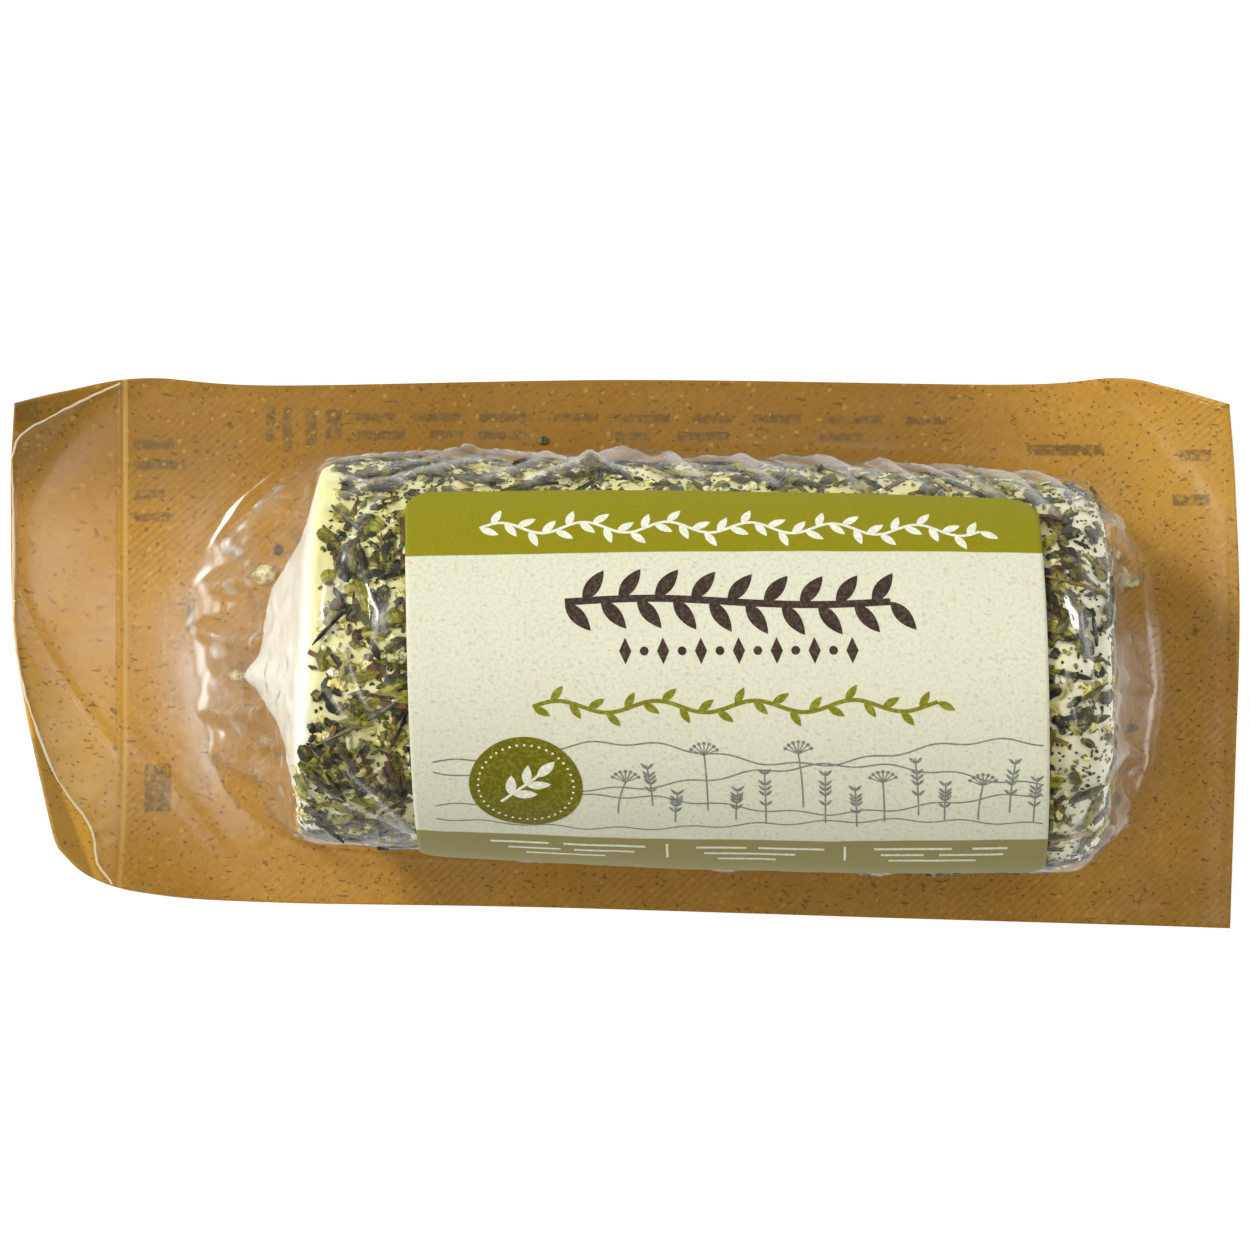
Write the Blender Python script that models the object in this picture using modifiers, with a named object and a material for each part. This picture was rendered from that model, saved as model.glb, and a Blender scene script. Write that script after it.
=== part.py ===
"""Sealed pack of a herb-coated goat cheese log: a kraft-look backing sheet with curled corners,
a clear film sealed over it, the film-covered log and a curved paper label on the film."""

import math
import random

import bmesh
import bpy
from mathutils import Matrix, Vector
from mathutils.bvhtree import BVHTree

MM = 0.001

# Backing sheet
SHEET_THICK = 0.4
SHEET_COLUMNS = 26
SHEET_ROWS = 14
SHEET_BOTTOM = [(-60.4, -20.7), (-57.2, -23.7), (-51.5, -25.7), (-39.6, -26.9), (-8, -27.5),
                (31, -28.7), (65.4, -29.7)]
SHEET_TOP = [(-65.6, 26.9), (-60.5, 28.3), (-52, 29.8), (-38, 29), (0, 29.6), (41, 29.1),
             (53, 29.8), (58.5, 28.8), (64.9, 26.8)]
SHEET_LEFT = [(-60.4, -20.7), (-61.5, -17.6), (-64.6, -5.6), (-66.2, 4), (-66.4, 18),
              (-65.6, 26.9)]
SHEET_RIGHT = [(65.4, -29.7), (65.9, -14), (66.4, 4), (65.9, 18), (64.9, 26.8)]

# Each curl: corner, direction out of the sheet, distance from crease to corner, height
CURLS = [
    ((-60.4, -20.7), (-0.789, -0.614), 14.0, 11.0),
    ((-65.6, 26.9), (-0.69, 0.72), 9.0, 5.0),
    ((64.9, 26.8), (0.70, 0.71), 9.0, 4.5),
]
END_LIFT = 0.9
END_LIFT_FROM = 58.0
END_LIFT_OVER = 8.5
SLOPE_STEP = 0.05
SHEET_CLOSENESS = 0.6

# Clear film border sealed round the pocket, with a free peel end at the left
GAP = 0.3
FLANGE_THICK = 0.3
FLANGE_COLUMNS = 24
FLANGE_ROWS = 12
FLANGE_CLOSENESS = 0.5
FLANGE_INSET = 0.25
PEEL_EDGE = [(-54.7, -24.7), (-56.7, -20.6), (-57.1, -18.4), (-61.3, -13), (-64.8, -5.6),
             (-66, 1), (-66.1, 12), (-65.9, 21.5), (-64.5, 23.6), (-60, 26.6), (-54.4, 29.1)]

# Film-covered log, lying along X with a slight turn
LOG_BASE = SHEET_THICK + GAP
LOG_TOP = 42.0
LOG_CENTRE_Z = 20.9
LOG_LEFT = -33.4
LOG_RIGHT = 50.3
LOG_MIDDLE_Y = -0.55
LOG_TURN = -0.035
LEFT_END_LEAN = 0.06
LOG_RADIUS = 21.45
LOG_RADIUS_X = 12.0
LOG_TAPER = 0.00062
FLANK_SPREAD = 0.9
FLANK_CURVE = 1.5
ARC_STEPS = 15
FLANK_STEPS = 3
LEFT_ROUND = 2.2
LEFT_ROUND_STEPS = 3
LEFT_ROUND_DEPTH = 0.3
RIGHT_ROUND = 4.6
RIGHT_ROUND_STEPS = 4.4
RIGHT_ROUND_WIDE = 0.85
RIGHT_ROUND_HIGH = 0.6
LOG_STATIONS = 15
STATION_GAPS = (3.0, 1.5)

# Film tents between the ends of the log and the backing: where each ends, the distance in which
# it falls, its width share at the log and at its end, how the width shrinks, its height share at
# the log, and how close its sections are to the log
LEFT_TENT = {"end": -48.4, "sag": 5.2, "wide": 0.98, "narrow": 0.52, "shrink": 1.7,
             "high": 0.94, "closeness": 1.25}
RIGHT_TENT = {"end": 57.3, "sag": 2.6, "wide": 0.83, "narrow": 0.52, "shrink": 1.3,
              "high": 0.84, "closeness": 1.25}
TENT_STATIONS = 8
TENT_EDGE = 0.6
TENT_CURVE = 1.6
TENT_SOON = 1.1

# Label, wrapped over the top and the front of the log, a little askew to its axis. The back
# and front edges are angles from straight up, each at the label's left and right ends
LABEL_THICK = 0.3
LABEL_GAP = 0.35
LABEL_LEFT = -22.6
LABEL_RIGHT = 42.3
LABEL_SKEW = 1.25
LABEL_HEIGHT = 50.0
LABEL_BACK = (math.radians(51.0), math.radians(57.0))
LABEL_FRONT = (math.radians(-82.3), math.radians(-74.7))
LABEL_CORNER = 3.1
LABEL_COLUMNS = 11
LABEL_ROWS = 20
LABEL_CLOSENESS = 0.8

# Herb flakes pressed into the side of the log
FLAKE_SEED = 7
FLAKE_COUNT = 120
FLAKE_TRIES = 6000
FLAKE_LONG = (2.0, 4.6)
FLAKE_WIDE = (0.9, 1.9)
FLAKE_PROUD = (0.2, 0.32)
FLAKE_DEPTH = 0.9
FLAKE_SIDES = 6
FLAKE_TAPER = 0.84
FLAKE_SPACING = 0.56
FLAKE_REACH = 2.1
FLAKE_OFF_LEFT = 1.5
FLAKE_OFF_RIGHT = 2.5
FLAKE_OFF_LABEL = 2.9
FLAKE_LEAST_HEIGHT = 5.0
OUTSIDE_LOG = 60.0

# Prism that cuts the pocket's foot out of the film border
CUTTER_BELOW = 1.0
CUTTER_TALL = 6.0


def smooth_point(points, t):
    """Point at the share t of a smooth open curve through the points."""
    lengths = [0.0]
    for a, b in zip(points, points[1:]):
        lengths.append(lengths[-1] + math.dist(a, b))
    wanted = t * lengths[-1]
    i = 0
    while i < len(points) - 2 and wanted > lengths[i + 1]:
        i += 1
    s = (wanted - lengths[i]) / (lengths[i + 1] - lengths[i])
    a = points[i]
    b = points[i + 1]
    before = points[max(i - 1, 0)]
    after = points[min(i + 2, len(points) - 1)]
    out = []
    for p0, p1, p2, p3 in zip(before, a, b, after):
        out.append(0.5 * (2 * p1 + (p2 - p0) * s + (2 * p0 - 5 * p1 + 4 * p2 - p3) * s * s
                          + (3 * p1 - p0 - 3 * p2 + p3) * s * s * s))
    return out


def lift(x, y):
    """Height of the sheet's underside above the table."""
    z = 0.0
    for corner, out, reach, height in CURLS:
        past = 1 + ((x - corner[0]) * out[0] + (y - corner[1]) * out[1]) / reach
        if past > 0:
            z += height * past * past
    past = (abs(x) - END_LIFT_FROM) / END_LIFT_OVER
    if past > 0:
        z += END_LIFT * past * past
    return z


def lift_above(x, y, distance):
    """Height at a distance above the sheet, measured square to it."""
    step = SLOPE_STEP
    slope_x = (lift(x + step, y) - lift(x - step, y)) / (2 * step)
    slope_y = (lift(x, y + step) - lift(x, y - step)) / (2 * step)
    return lift(x, y) + distance * math.sqrt(1 + slope_x * slope_x + slope_y * slope_y)


def patch_point(bottom, top, left, right, u, v):
    """Point of the patch between four edges."""
    b = smooth_point(bottom, u)
    t = smooth_point(top, u)
    e = smooth_point(left, v)
    r = smooth_point(right, v)
    corners = (bottom[0], bottom[-1], top[0], top[-1])
    out = []
    for i in range(2):
        low = corners[0][i] * (1 - u) + corners[1][i] * u
        high = corners[2][i] * (1 - u) + corners[3][i] * u
        out.append(b[i] * (1 - v) + t[i] * v + e[i] * (1 - u) + r[i] * u
                   - low * (1 - v) - high * v)
    return out


def towards_ends(t, share):
    """Spreads even steps so that they are closer together near 0 and 1."""
    return t - share * math.sin(2 * math.pi * t) / (2 * math.pi)


def new_object(name, bm, collection, material=None):
    mesh = bpy.data.meshes.new(name)
    bm.to_mesh(mesh)
    bm.free()
    ob = bpy.data.objects.new(name, mesh)
    collection.objects.link(ob)
    if material:
        mesh.materials.append(material)
    return ob


def new_material(name, colour, roughness):
    mat = bpy.data.materials.new(name)
    mat.use_nodes = True
    shader = mat.node_tree.nodes["Principled BSDF"]
    shader.inputs["Base Color"].default_value = (*colour, 1)
    shader.inputs["Roughness"].default_value = roughness
    shader.inputs["Metallic"].default_value = 0
    mat.diffuse_color = (*colour, 1)
    return mat


def sheet_mesh(edges, columns, rows, above, closeness):
    """Open sheet over the patch, at a distance above the backing's underside."""
    bm = bmesh.new()
    bmesh.ops.create_grid(bm, x_segments=columns, y_segments=rows, size=1)
    for vert in bm.verts:
        u = towards_ends((vert.co.x + 1) / 2, closeness)
        v = towards_ends((vert.co.y + 1) / 2, closeness)
        x, y = patch_point(*edges, u, v)
        vert.co = Vector((x, y, lift_above(x, y, above))) * MM
    return bm


def thicken(ob, thickness):
    """Adds the thickness above the sheet."""
    solid = ob.modifiers.new("Thickness", "SOLIDIFY")
    solid.thickness = thickness * MM
    solid.offset = 1


def log_y(x):
    return LOG_MIDDLE_Y + LOG_TURN * x


def log_radius(x):
    return LOG_RADIUS - LOG_TAPER * (x - LOG_RADIUS_X) ** 2


def arch(share_wide, share_high, tent, x):
    """Points across the log at x, from the back foot over the top to the front foot. Tent 0 is
    the round log and tent 1 is film that hangs from a ridge."""
    points = []
    radius = log_radius(x)
    foot = radius + FLANK_SPREAD
    rise = LOG_CENTRE_Z - LOG_BASE
    count = ARC_STEPS + 1 + 2 * FLANK_STEPS
    for k in range(count):
        side = k - (count - 1) / 2
        arc = (abs(side) - ARC_STEPS / 2) / FLANK_STEPS
        if arc > 0:
            y = radius + FLANK_SPREAD * arc ** FLANK_CURVE
            z = rise * (1 - arc)
        else:
            angle = math.pi * abs(side) / ARC_STEPS
            y = radius * math.sin(angle)
            z = rise + (LOG_TOP - LOG_CENTRE_Z) * math.cos(angle)
        t = abs(side) * 2 / (count - 1)
        y = y * (1 - tent) + foot * t * tent
        z = z * (1 - tent) + (LOG_TOP - LOG_BASE) * (1 - t) ** TENT_CURVE * tent
        sign = -1 if side > 0 else 1
        points.append((sign * y * share_wide, LOG_BASE + z * share_high))
    return points


def tent_section(tent, start, share, lean):
    """Section of the film at a share of the way from the end of the log to its tent's end."""
    length = tent["end"] - start
    hang = math.exp(-share * abs(length) / tent["sag"]) * (1 - share ** 3)
    high = tent["high"] * hang + TENT_EDGE / (LOG_TOP - LOG_BASE)
    wide = tent["wide"] - (tent["wide"] - tent["narrow"]) * share ** tent["shrink"]
    return start + length * share, wide, high, min(1, TENT_SOON * share), lean


def log_sections():
    """Station, width share, height share, tent share and lean of each section."""
    out = []
    for i in range(TENT_STATIONS, 0, -1):
        share = (i / TENT_STATIONS) ** LEFT_TENT["closeness"]
        out.append(tent_section(LEFT_TENT, LOG_LEFT, share, LEFT_END_LEAN))
    for i in range(LEFT_ROUND_STEPS + 1):
        angle = math.pi / 2 * i / LEFT_ROUND_STEPS
        x = LOG_LEFT + LEFT_ROUND_DEPTH + LEFT_ROUND * (1 - math.cos(angle))
        share = 1 - LEFT_ROUND_DEPTH * LEFT_ROUND * (1 - math.sin(angle)) / LOG_RADIUS
        out.append((x, share, share, 0, LEFT_END_LEAN))
    first = LOG_LEFT + LEFT_ROUND + STATION_GAPS[0]
    last = LOG_RIGHT - RIGHT_ROUND - STATION_GAPS[1]
    for i in range(LOG_STATIONS):
        share = i / (LOG_STATIONS - 1)
        out.append((first + (last - first) * share, 1, 1, 0, LEFT_END_LEAN * (1 - share) ** 4))
    for i in range(math.ceil(RIGHT_ROUND_STEPS)):
        angle = math.pi / 2 * i / RIGHT_ROUND_STEPS
        x = LOG_RIGHT - RIGHT_ROUND * (1 - math.sin(angle))
        drop = RIGHT_ROUND * (1 - math.cos(angle)) / LOG_RADIUS
        out.append((x, 1 - RIGHT_ROUND_WIDE * drop, 1 - RIGHT_ROUND_HIGH * drop, 0, 0))
    for i in range(1, TENT_STATIONS + 1):
        share = (i / TENT_STATIONS) ** RIGHT_TENT["closeness"]
        out.append(tent_section(RIGHT_TENT, LOG_RIGHT, share, 0))
    return out


def log_mesh():
    bm = bmesh.new()
    rings = []
    for x, wide, high, tent, lean in log_sections():
        ring = []
        for y, z in arch(wide, high, tent, x):
            ring.append(bm.verts.new(Vector((x + lean * y, log_y(x) + y, z)) * MM))
        rings.append(ring)
    for a, b in zip(rings, rings[1:]):
        for i in range(len(a) - 1):
            bm.faces.new((a[i], a[i + 1], b[i + 1], b[i]))
        bm.faces.new((a[-1], a[0], b[0], b[-1]))
    bm.faces.new(rings[0])
    bm.faces.new(rings[-1][::-1])
    bmesh.ops.recalc_face_normals(bm, faces=bm.faces)
    return bm


def label_point(x, angle, away):
    """Point at a distance off the log, at an angle from straight up, positive to the back."""
    radius = log_radius(x) + away
    rise = LOG_TOP - LOG_CENTRE_Z + away
    return Vector((x, log_y(x) + radius * math.sin(angle),
                   LOG_CENTRE_Z + rise * math.cos(angle))) * MM


def label_angle(across, down):
    """Angle from straight up at shares of the way across and down the label."""
    back = LABEL_BACK[0] + (LABEL_BACK[1] - LABEL_BACK[0]) * across
    front = LABEL_FRONT[0] + (LABEL_FRONT[1] - LABEL_FRONT[0]) * across
    return back + (front - back) * down


def corner_inset(down):
    """How far the rounded corners pull the label's ends in, at a share of the way down."""
    missing = LABEL_CORNER - LABEL_HEIGHT * min(down, 1 - down)
    if missing <= 0:
        return 0.0
    return LABEL_CORNER - math.sqrt(LABEL_CORNER * LABEL_CORNER - missing * missing)


def label_mesh():
    bm = bmesh.new()
    bmesh.ops.create_grid(bm, x_segments=LABEL_COLUMNS, y_segments=LABEL_ROWS, size=1)
    for vert in bm.verts:
        across = (vert.co.x + 1) / 2
        down = towards_ends((1 - vert.co.y) / 2, LABEL_CLOSENESS)
        pulled = corner_inset(down)
        left = LABEL_LEFT + pulled
        right = LABEL_RIGHT - pulled
        x = left + (right - left) * across + LABEL_SKEW * down
        vert.co = label_point(x, label_angle(across, down), LABEL_GAP)
    return bm


def under_label(x, angle):
    """True where a flake would touch the label."""
    margin = FLAKE_OFF_LABEL / LOG_RADIUS
    across = (x - LABEL_LEFT) / (LABEL_RIGHT - LABEL_LEFT)
    beside = LABEL_LEFT - FLAKE_OFF_LABEL < x < LABEL_RIGHT + LABEL_SKEW + FLAKE_OFF_LABEL
    back = label_angle(across, 0) + margin
    front = label_angle(across, 1) - margin
    return beside and front < angle < back


def flake(rng, at, normal, long):
    """One flat leaf piece, sunk into the surface at the point."""
    bm = bmesh.new()
    wide = rng.uniform(*FLAKE_WIDE)
    proud = rng.uniform(*FLAKE_PROUD)
    bmesh.ops.create_cone(bm, cap_ends=True, segments=FLAKE_SIDES, radius1=0.5,
                          radius2=0.5 * FLAKE_TAPER, depth=1)
    size = Matrix.Diagonal((long * MM, wide * MM, (FLAKE_DEPTH + proud) * MM, 1))
    turn = Matrix.Rotation(rng.uniform(0, math.pi), 4, "Z")
    centre = at + normal * (proud - (FLAKE_DEPTH + proud) / 2) * MM
    place = Matrix.Translation(centre) @ normal.to_track_quat("Z", "Y").to_matrix().to_4x4()
    bmesh.ops.transform(bm, matrix=place @ turn @ size, verts=bm.verts)
    return bm


def add_flakes(log, cutters):
    """Flakes in the bare parts of the side, the longest first, none touching another."""
    rng = random.Random(FLAKE_SEED)
    bm = bmesh.new()
    bm.from_mesh(log.data)
    surface = BVHTree.FromBMesh(bm)
    bm.free()
    placed = []
    tries = 0
    while len(placed) < FLAKE_COUNT and tries < FLAKE_TRIES:
        tries += 1
        share = len(placed) / FLAKE_COUNT
        long = FLAKE_LONG[1] + (FLAKE_LONG[0] - FLAKE_LONG[1]) * math.sqrt(share)
        x = rng.uniform(LOG_LEFT + FLAKE_OFF_LEFT + long / 2,
                        LOG_RIGHT - FLAKE_OFF_RIGHT - long / 2)
        angle = rng.uniform(-FLAKE_REACH, FLAKE_REACH)
        if under_label(x, angle):
            continue
        out = Vector((0, math.sin(angle), math.cos(angle)))
        middle = Vector((x, log_y(x), LOG_CENTRE_Z)) * MM
        at, normal, _, _ = surface.ray_cast(middle + out * OUTSIDE_LOG * MM, -out)
        if at is None or at.z < FLAKE_LEAST_HEIGHT * MM:
            continue
        apart = FLAKE_SPACING * MM
        if any((at - other).length < (long + size) * apart for other, size in placed):
            continue
        placed.append((at, long))
        ob = new_object("flake_%d" % len(placed), flake(rng, at, normal, long), cutters)
        ob.hide_render = True
    join = log.modifiers.new("Flakes", "BOOLEAN")
    join.operation = "UNION"
    join.operand_type = "COLLECTION"
    join.collection = cutters
    join.solver = "MANIFOLD"


def apply_modifiers(ob):
    """Replaces the mesh by the one its modifiers make."""
    graph = bpy.context.evaluated_depsgraph_get()
    mesh = bpy.data.meshes.new_from_object(ob.evaluated_get(graph))
    ob.modifiers.clear()
    ob.data = mesh


def pocket_cutter(collection):
    """Prism a gap wider all round than the foot of the pocket."""
    bm = bmesh.new()
    back = []
    front = []
    sections = log_sections()
    for i, (x, wide, _, _, lean) in enumerate(sections):
        half = (log_radius(x) + FLANK_SPREAD) * wide + GAP
        if i == 0:
            x -= GAP
        if i == len(sections) - 1:
            x += GAP
        back.append((x + lean * half, log_y(x) + half))
        front.append((x - lean * half, log_y(x) - half))
    outline = back + front[::-1]
    bottom = [bm.verts.new(Vector((x, y, -CUTTER_BELOW)) * MM) for x, y in outline]
    face = bm.faces.new(bottom)
    raised = bmesh.ops.extrude_face_region(bm, geom=[face])["geom"]
    tops = [e for e in raised if isinstance(e, bmesh.types.BMVert)]
    bmesh.ops.translate(bm, verts=tops, vec=(0, 0, CUTTER_TALL * MM))
    bmesh.ops.recalc_face_normals(bm, faces=bm.faces)
    ob = new_object("pocket_cutter", bm, collection)
    ob.hide_render = True
    ob.display_type = "WIRE"
    return ob


def inset(points, amount):
    """Moves an edge towards the middle of the sheet, up or down."""
    return [(x, y - math.copysign(amount, y)) for x, y in points]


def flange_edges():
    """The film follows the backing's edges except at its free left end."""
    bottom = [PEEL_EDGE[0]] + inset(SHEET_BOTTOM[3:-1], FLANGE_INSET)
    top = [PEEL_EDGE[-1]] + inset(SHEET_TOP[2:-1], FLANGE_INSET)
    low = (SHEET_BOTTOM[-1][0] - FLANGE_INSET, SHEET_BOTTOM[-1][1] + FLANGE_INSET)
    high = (SHEET_TOP[-1][0] - FLANGE_INSET, SHEET_TOP[-1][1] - FLANGE_INSET)
    right = [low] + [(x - FLANGE_INSET, y) for x, y in SHEET_RIGHT[1:-1]] + [high]
    return bottom + [low], top + [high], PEEL_EDGE, right


def main():
    for ob in list(bpy.data.objects):
        bpy.data.objects.remove(ob)
    scene = bpy.context.scene
    pack = bpy.data.collections.new("herbed_cheese_log_pack")
    scene.collection.children.link(pack)
    cutters = bpy.data.collections.new("cutters")
    scene.collection.children.link(cutters)
    flakes = bpy.data.collections.new("flakes")
    scene.collection.children.link(flakes)

    kraft = new_material("kraft_web", (0.50, 0.30, 0.10), 0.6)
    film = new_material("clear_film", (0.80, 0.78, 0.70), 0.2)
    cheese = new_material("herbed_cheese", (0.62, 0.60, 0.42), 0.5)
    paper = new_material("label_paper", (0.80, 0.79, 0.62), 0.6)

    edges = (SHEET_BOTTOM, SHEET_TOP, SHEET_LEFT, SHEET_RIGHT)
    bm = sheet_mesh(edges, SHEET_COLUMNS, SHEET_ROWS, 0, SHEET_CLOSENESS)
    backing = new_object("backing_sheet", bm, pack, kraft)
    thicken(backing, SHEET_THICK)

    bm = sheet_mesh(flange_edges(), FLANGE_COLUMNS, FLANGE_ROWS, SHEET_THICK + GAP,
                    FLANGE_CLOSENESS)
    flange = new_object("film_flange", bm, pack, film)
    thicken(flange, FLANGE_THICK)
    hole = flange.modifiers.new("Pocket", "BOOLEAN")
    hole.operation = "DIFFERENCE"
    hole.object = pocket_cutter(cutters)
    hole.solver = "EXACT"

    log = new_object("sealed_log", log_mesh(), pack, cheese)
    add_flakes(log, flakes)
    apply_modifiers(log)
    for ob in list(flakes.objects):
        bpy.data.objects.remove(ob)
    bpy.data.collections.remove(flakes)

    label = new_object("label", label_mesh(), pack, paper)
    thicken(label, LABEL_THICK)


main()
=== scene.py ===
import math
import random

import bmesh
import bpy
import numpy as np
from mathutils import Matrix, Vector


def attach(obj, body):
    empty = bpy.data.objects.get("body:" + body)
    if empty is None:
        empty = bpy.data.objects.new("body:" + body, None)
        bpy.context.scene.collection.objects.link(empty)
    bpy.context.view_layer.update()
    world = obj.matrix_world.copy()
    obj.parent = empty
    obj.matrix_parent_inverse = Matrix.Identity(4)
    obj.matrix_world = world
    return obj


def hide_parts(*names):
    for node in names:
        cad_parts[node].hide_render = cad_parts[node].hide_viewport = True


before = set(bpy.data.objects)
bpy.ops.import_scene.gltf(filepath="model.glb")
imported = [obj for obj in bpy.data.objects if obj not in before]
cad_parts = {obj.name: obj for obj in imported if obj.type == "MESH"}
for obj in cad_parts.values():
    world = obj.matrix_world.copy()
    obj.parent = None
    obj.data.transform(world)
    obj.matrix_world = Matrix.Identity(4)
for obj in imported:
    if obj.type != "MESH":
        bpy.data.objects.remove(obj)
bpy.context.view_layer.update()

mm = 0.001
print("frame loaded")


# Small helpers for colours, nodes and meshes

def screenColour(red, green, blue):
    # A colour as seen on screen, 0 to 255, made linear
    linear = []
    for value in (red, green, blue):
        share = value / 255
        linear.append(share / 12.92 if share <= 0.04045 else ((share + 0.055) / 1.055) ** 2.4)
    return (*linear, 1)


def addNode(tree, kind, inputs=None, **settings):
    node = tree.nodes.new(kind)
    for name, value in settings.items():
        setattr(node, name, value)
    for name, value in (inputs or {}).items():
        if isinstance(value, bpy.types.NodeSocket):
            tree.links.new(value, node.inputs[name])
        else:
            node.inputs[name].default_value = value
    return node


def maths(tree, operation, first, second=None, third=None, clamp=False):
    values = {0: first}
    if second is not None:
        values[1] = second
    if third is not None:
        values[2] = third
    return addNode(tree, "ShaderNodeMath", values, operation=operation,
                   use_clamp=clamp).outputs[0]


def ranged(tree, value, low, high, toLow=0.0, toHigh=1.0, smooth=True):
    node = addNode(tree, "ShaderNodeMapRange", {"Value": value, "From Min": low, "From Max": high,
                                                "To Min": toLow, "To Max": toHigh})
    node.interpolation_type = "SMOOTHSTEP" if smooth else "LINEAR"
    return node.outputs["Result"]


def blended(tree, share, first, second, mode="MIX"):
    node = addNode(tree, "ShaderNodeMix", data_type="RGBA", blend_type=mode)
    for socket, value in ((0, share), (6, first), (7, second)):
        if isinstance(value, bpy.types.NodeSocket):
            tree.links.new(value, node.inputs[socket])
        else:
            node.inputs[socket].default_value = value
    return node.outputs[2]


def newGroup(name, inputs, outputs):
    tree = bpy.data.node_groups.new(name, "ShaderNodeTree")
    for label, kind, value in inputs:
        socket = tree.interface.new_socket(name=label, in_out="INPUT", socket_type=kind)
        if value is not None:
            socket.default_value = value
    for label, kind in outputs:
        tree.interface.new_socket(name=label, in_out="OUTPUT", socket_type=kind)
    start = tree.nodes.new("NodeGroupInput").outputs
    end = tree.nodes.new("NodeGroupOutput").inputs
    return tree, start, end


def useGroup(tree, group, values):
    node = tree.nodes.new("ShaderNodeGroup")
    node.node_tree = group
    for name, value in values.items():
        if isinstance(value, bpy.types.NodeSocket):
            tree.links.new(value, node.inputs[name])
        else:
            node.inputs[name].default_value = value
    return node.outputs


def newMaterial(name, **plain):
    material = bpy.data.materials.new(name)
    material.use_nodes = True
    tree = material.node_tree
    shader = tree.nodes["Principled BSDF"]
    for label, value in plain.items():
        shader.inputs[label.replace("_", " ")].default_value = value
    return material, tree, shader


def newPiece(name, points, faces, material, smooth=True):
    # Points in mm
    mesh = bpy.data.meshes.new(name)
    mesh.from_pydata((np.asarray(points, float) * mm).tolist(), [], faces)
    mesh.materials.append(material)
    mesh.shade_smooth() if smooth else mesh.shade_flat()
    piece = bpy.data.objects.new(name, mesh)
    bpy.context.scene.collection.objects.link(piece)
    return piece


def gridFaces(rows, columns):
    at = np.arange(rows * columns).reshape(rows, columns)
    quads = np.stack([at[:-1, :-1], at[:-1, 1:], at[1:, 1:], at[1:, :-1]], -1)
    return quads.reshape(-1, 4).tolist()


def settle(piece):
    # Turns live modifiers into a plain mesh
    graph = bpy.context.evaluated_depsgraph_get()
    mesh = bpy.data.meshes.new_from_object(piece.evaluated_get(graph))
    piece.modifiers.clear()
    piece.data = mesh


def thicken(piece, thickness, offset):
    solid = piece.modifiers.new("Thickness", "SOLIDIFY")
    solid.thickness = thickness * mm
    solid.offset = offset
    solid.use_even_offset = False
    settle(piece)


def storeNumbers(piece, name, values):
    values = np.asarray(values, float)
    kind = "FLOAT" if values.ndim == 1 else "FLOAT_VECTOR"
    layer = piece.data.attributes.new(name, kind, "POINT")
    layer.data.foreach_set("value" if kind == "FLOAT" else "vector", values.ravel())


def place(piece, slot, *nodes):
    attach(piece, "root")
    if nodes:
        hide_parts(*nodes)


def smoothStep(values, low, high):
    share = np.clip((np.asarray(values, float) - low) / (high - low), 0, 1)
    return share * share * (3 - 2 * share)


class Waves:
    # Smooth seeded noise from a sum of turned sine waves, about -1 to 1
    def __init__(self, seed, size, count=18, spread=2.2):
        rng = np.random.default_rng(seed)
        length = size * spread ** rng.uniform(-1, 1, (count, 1))
        way = rng.normal(size=(count, 3))
        way /= np.linalg.norm(way, axis=1, keepdims=True)
        self.way = way * 2 * math.pi / length
        self.phase = rng.uniform(0, 2 * math.pi, count)
        self.scale = math.sqrt(2 / count) * 0.6

    def at(self, *axes):
        total = 0.0
        for way, phase in zip(self.way, self.phase):
            total = total + np.sin(sum(w * a for w, a in zip(way, axes)) + phase)
        return total * self.scale


# Shader effects that several materials share

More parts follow.
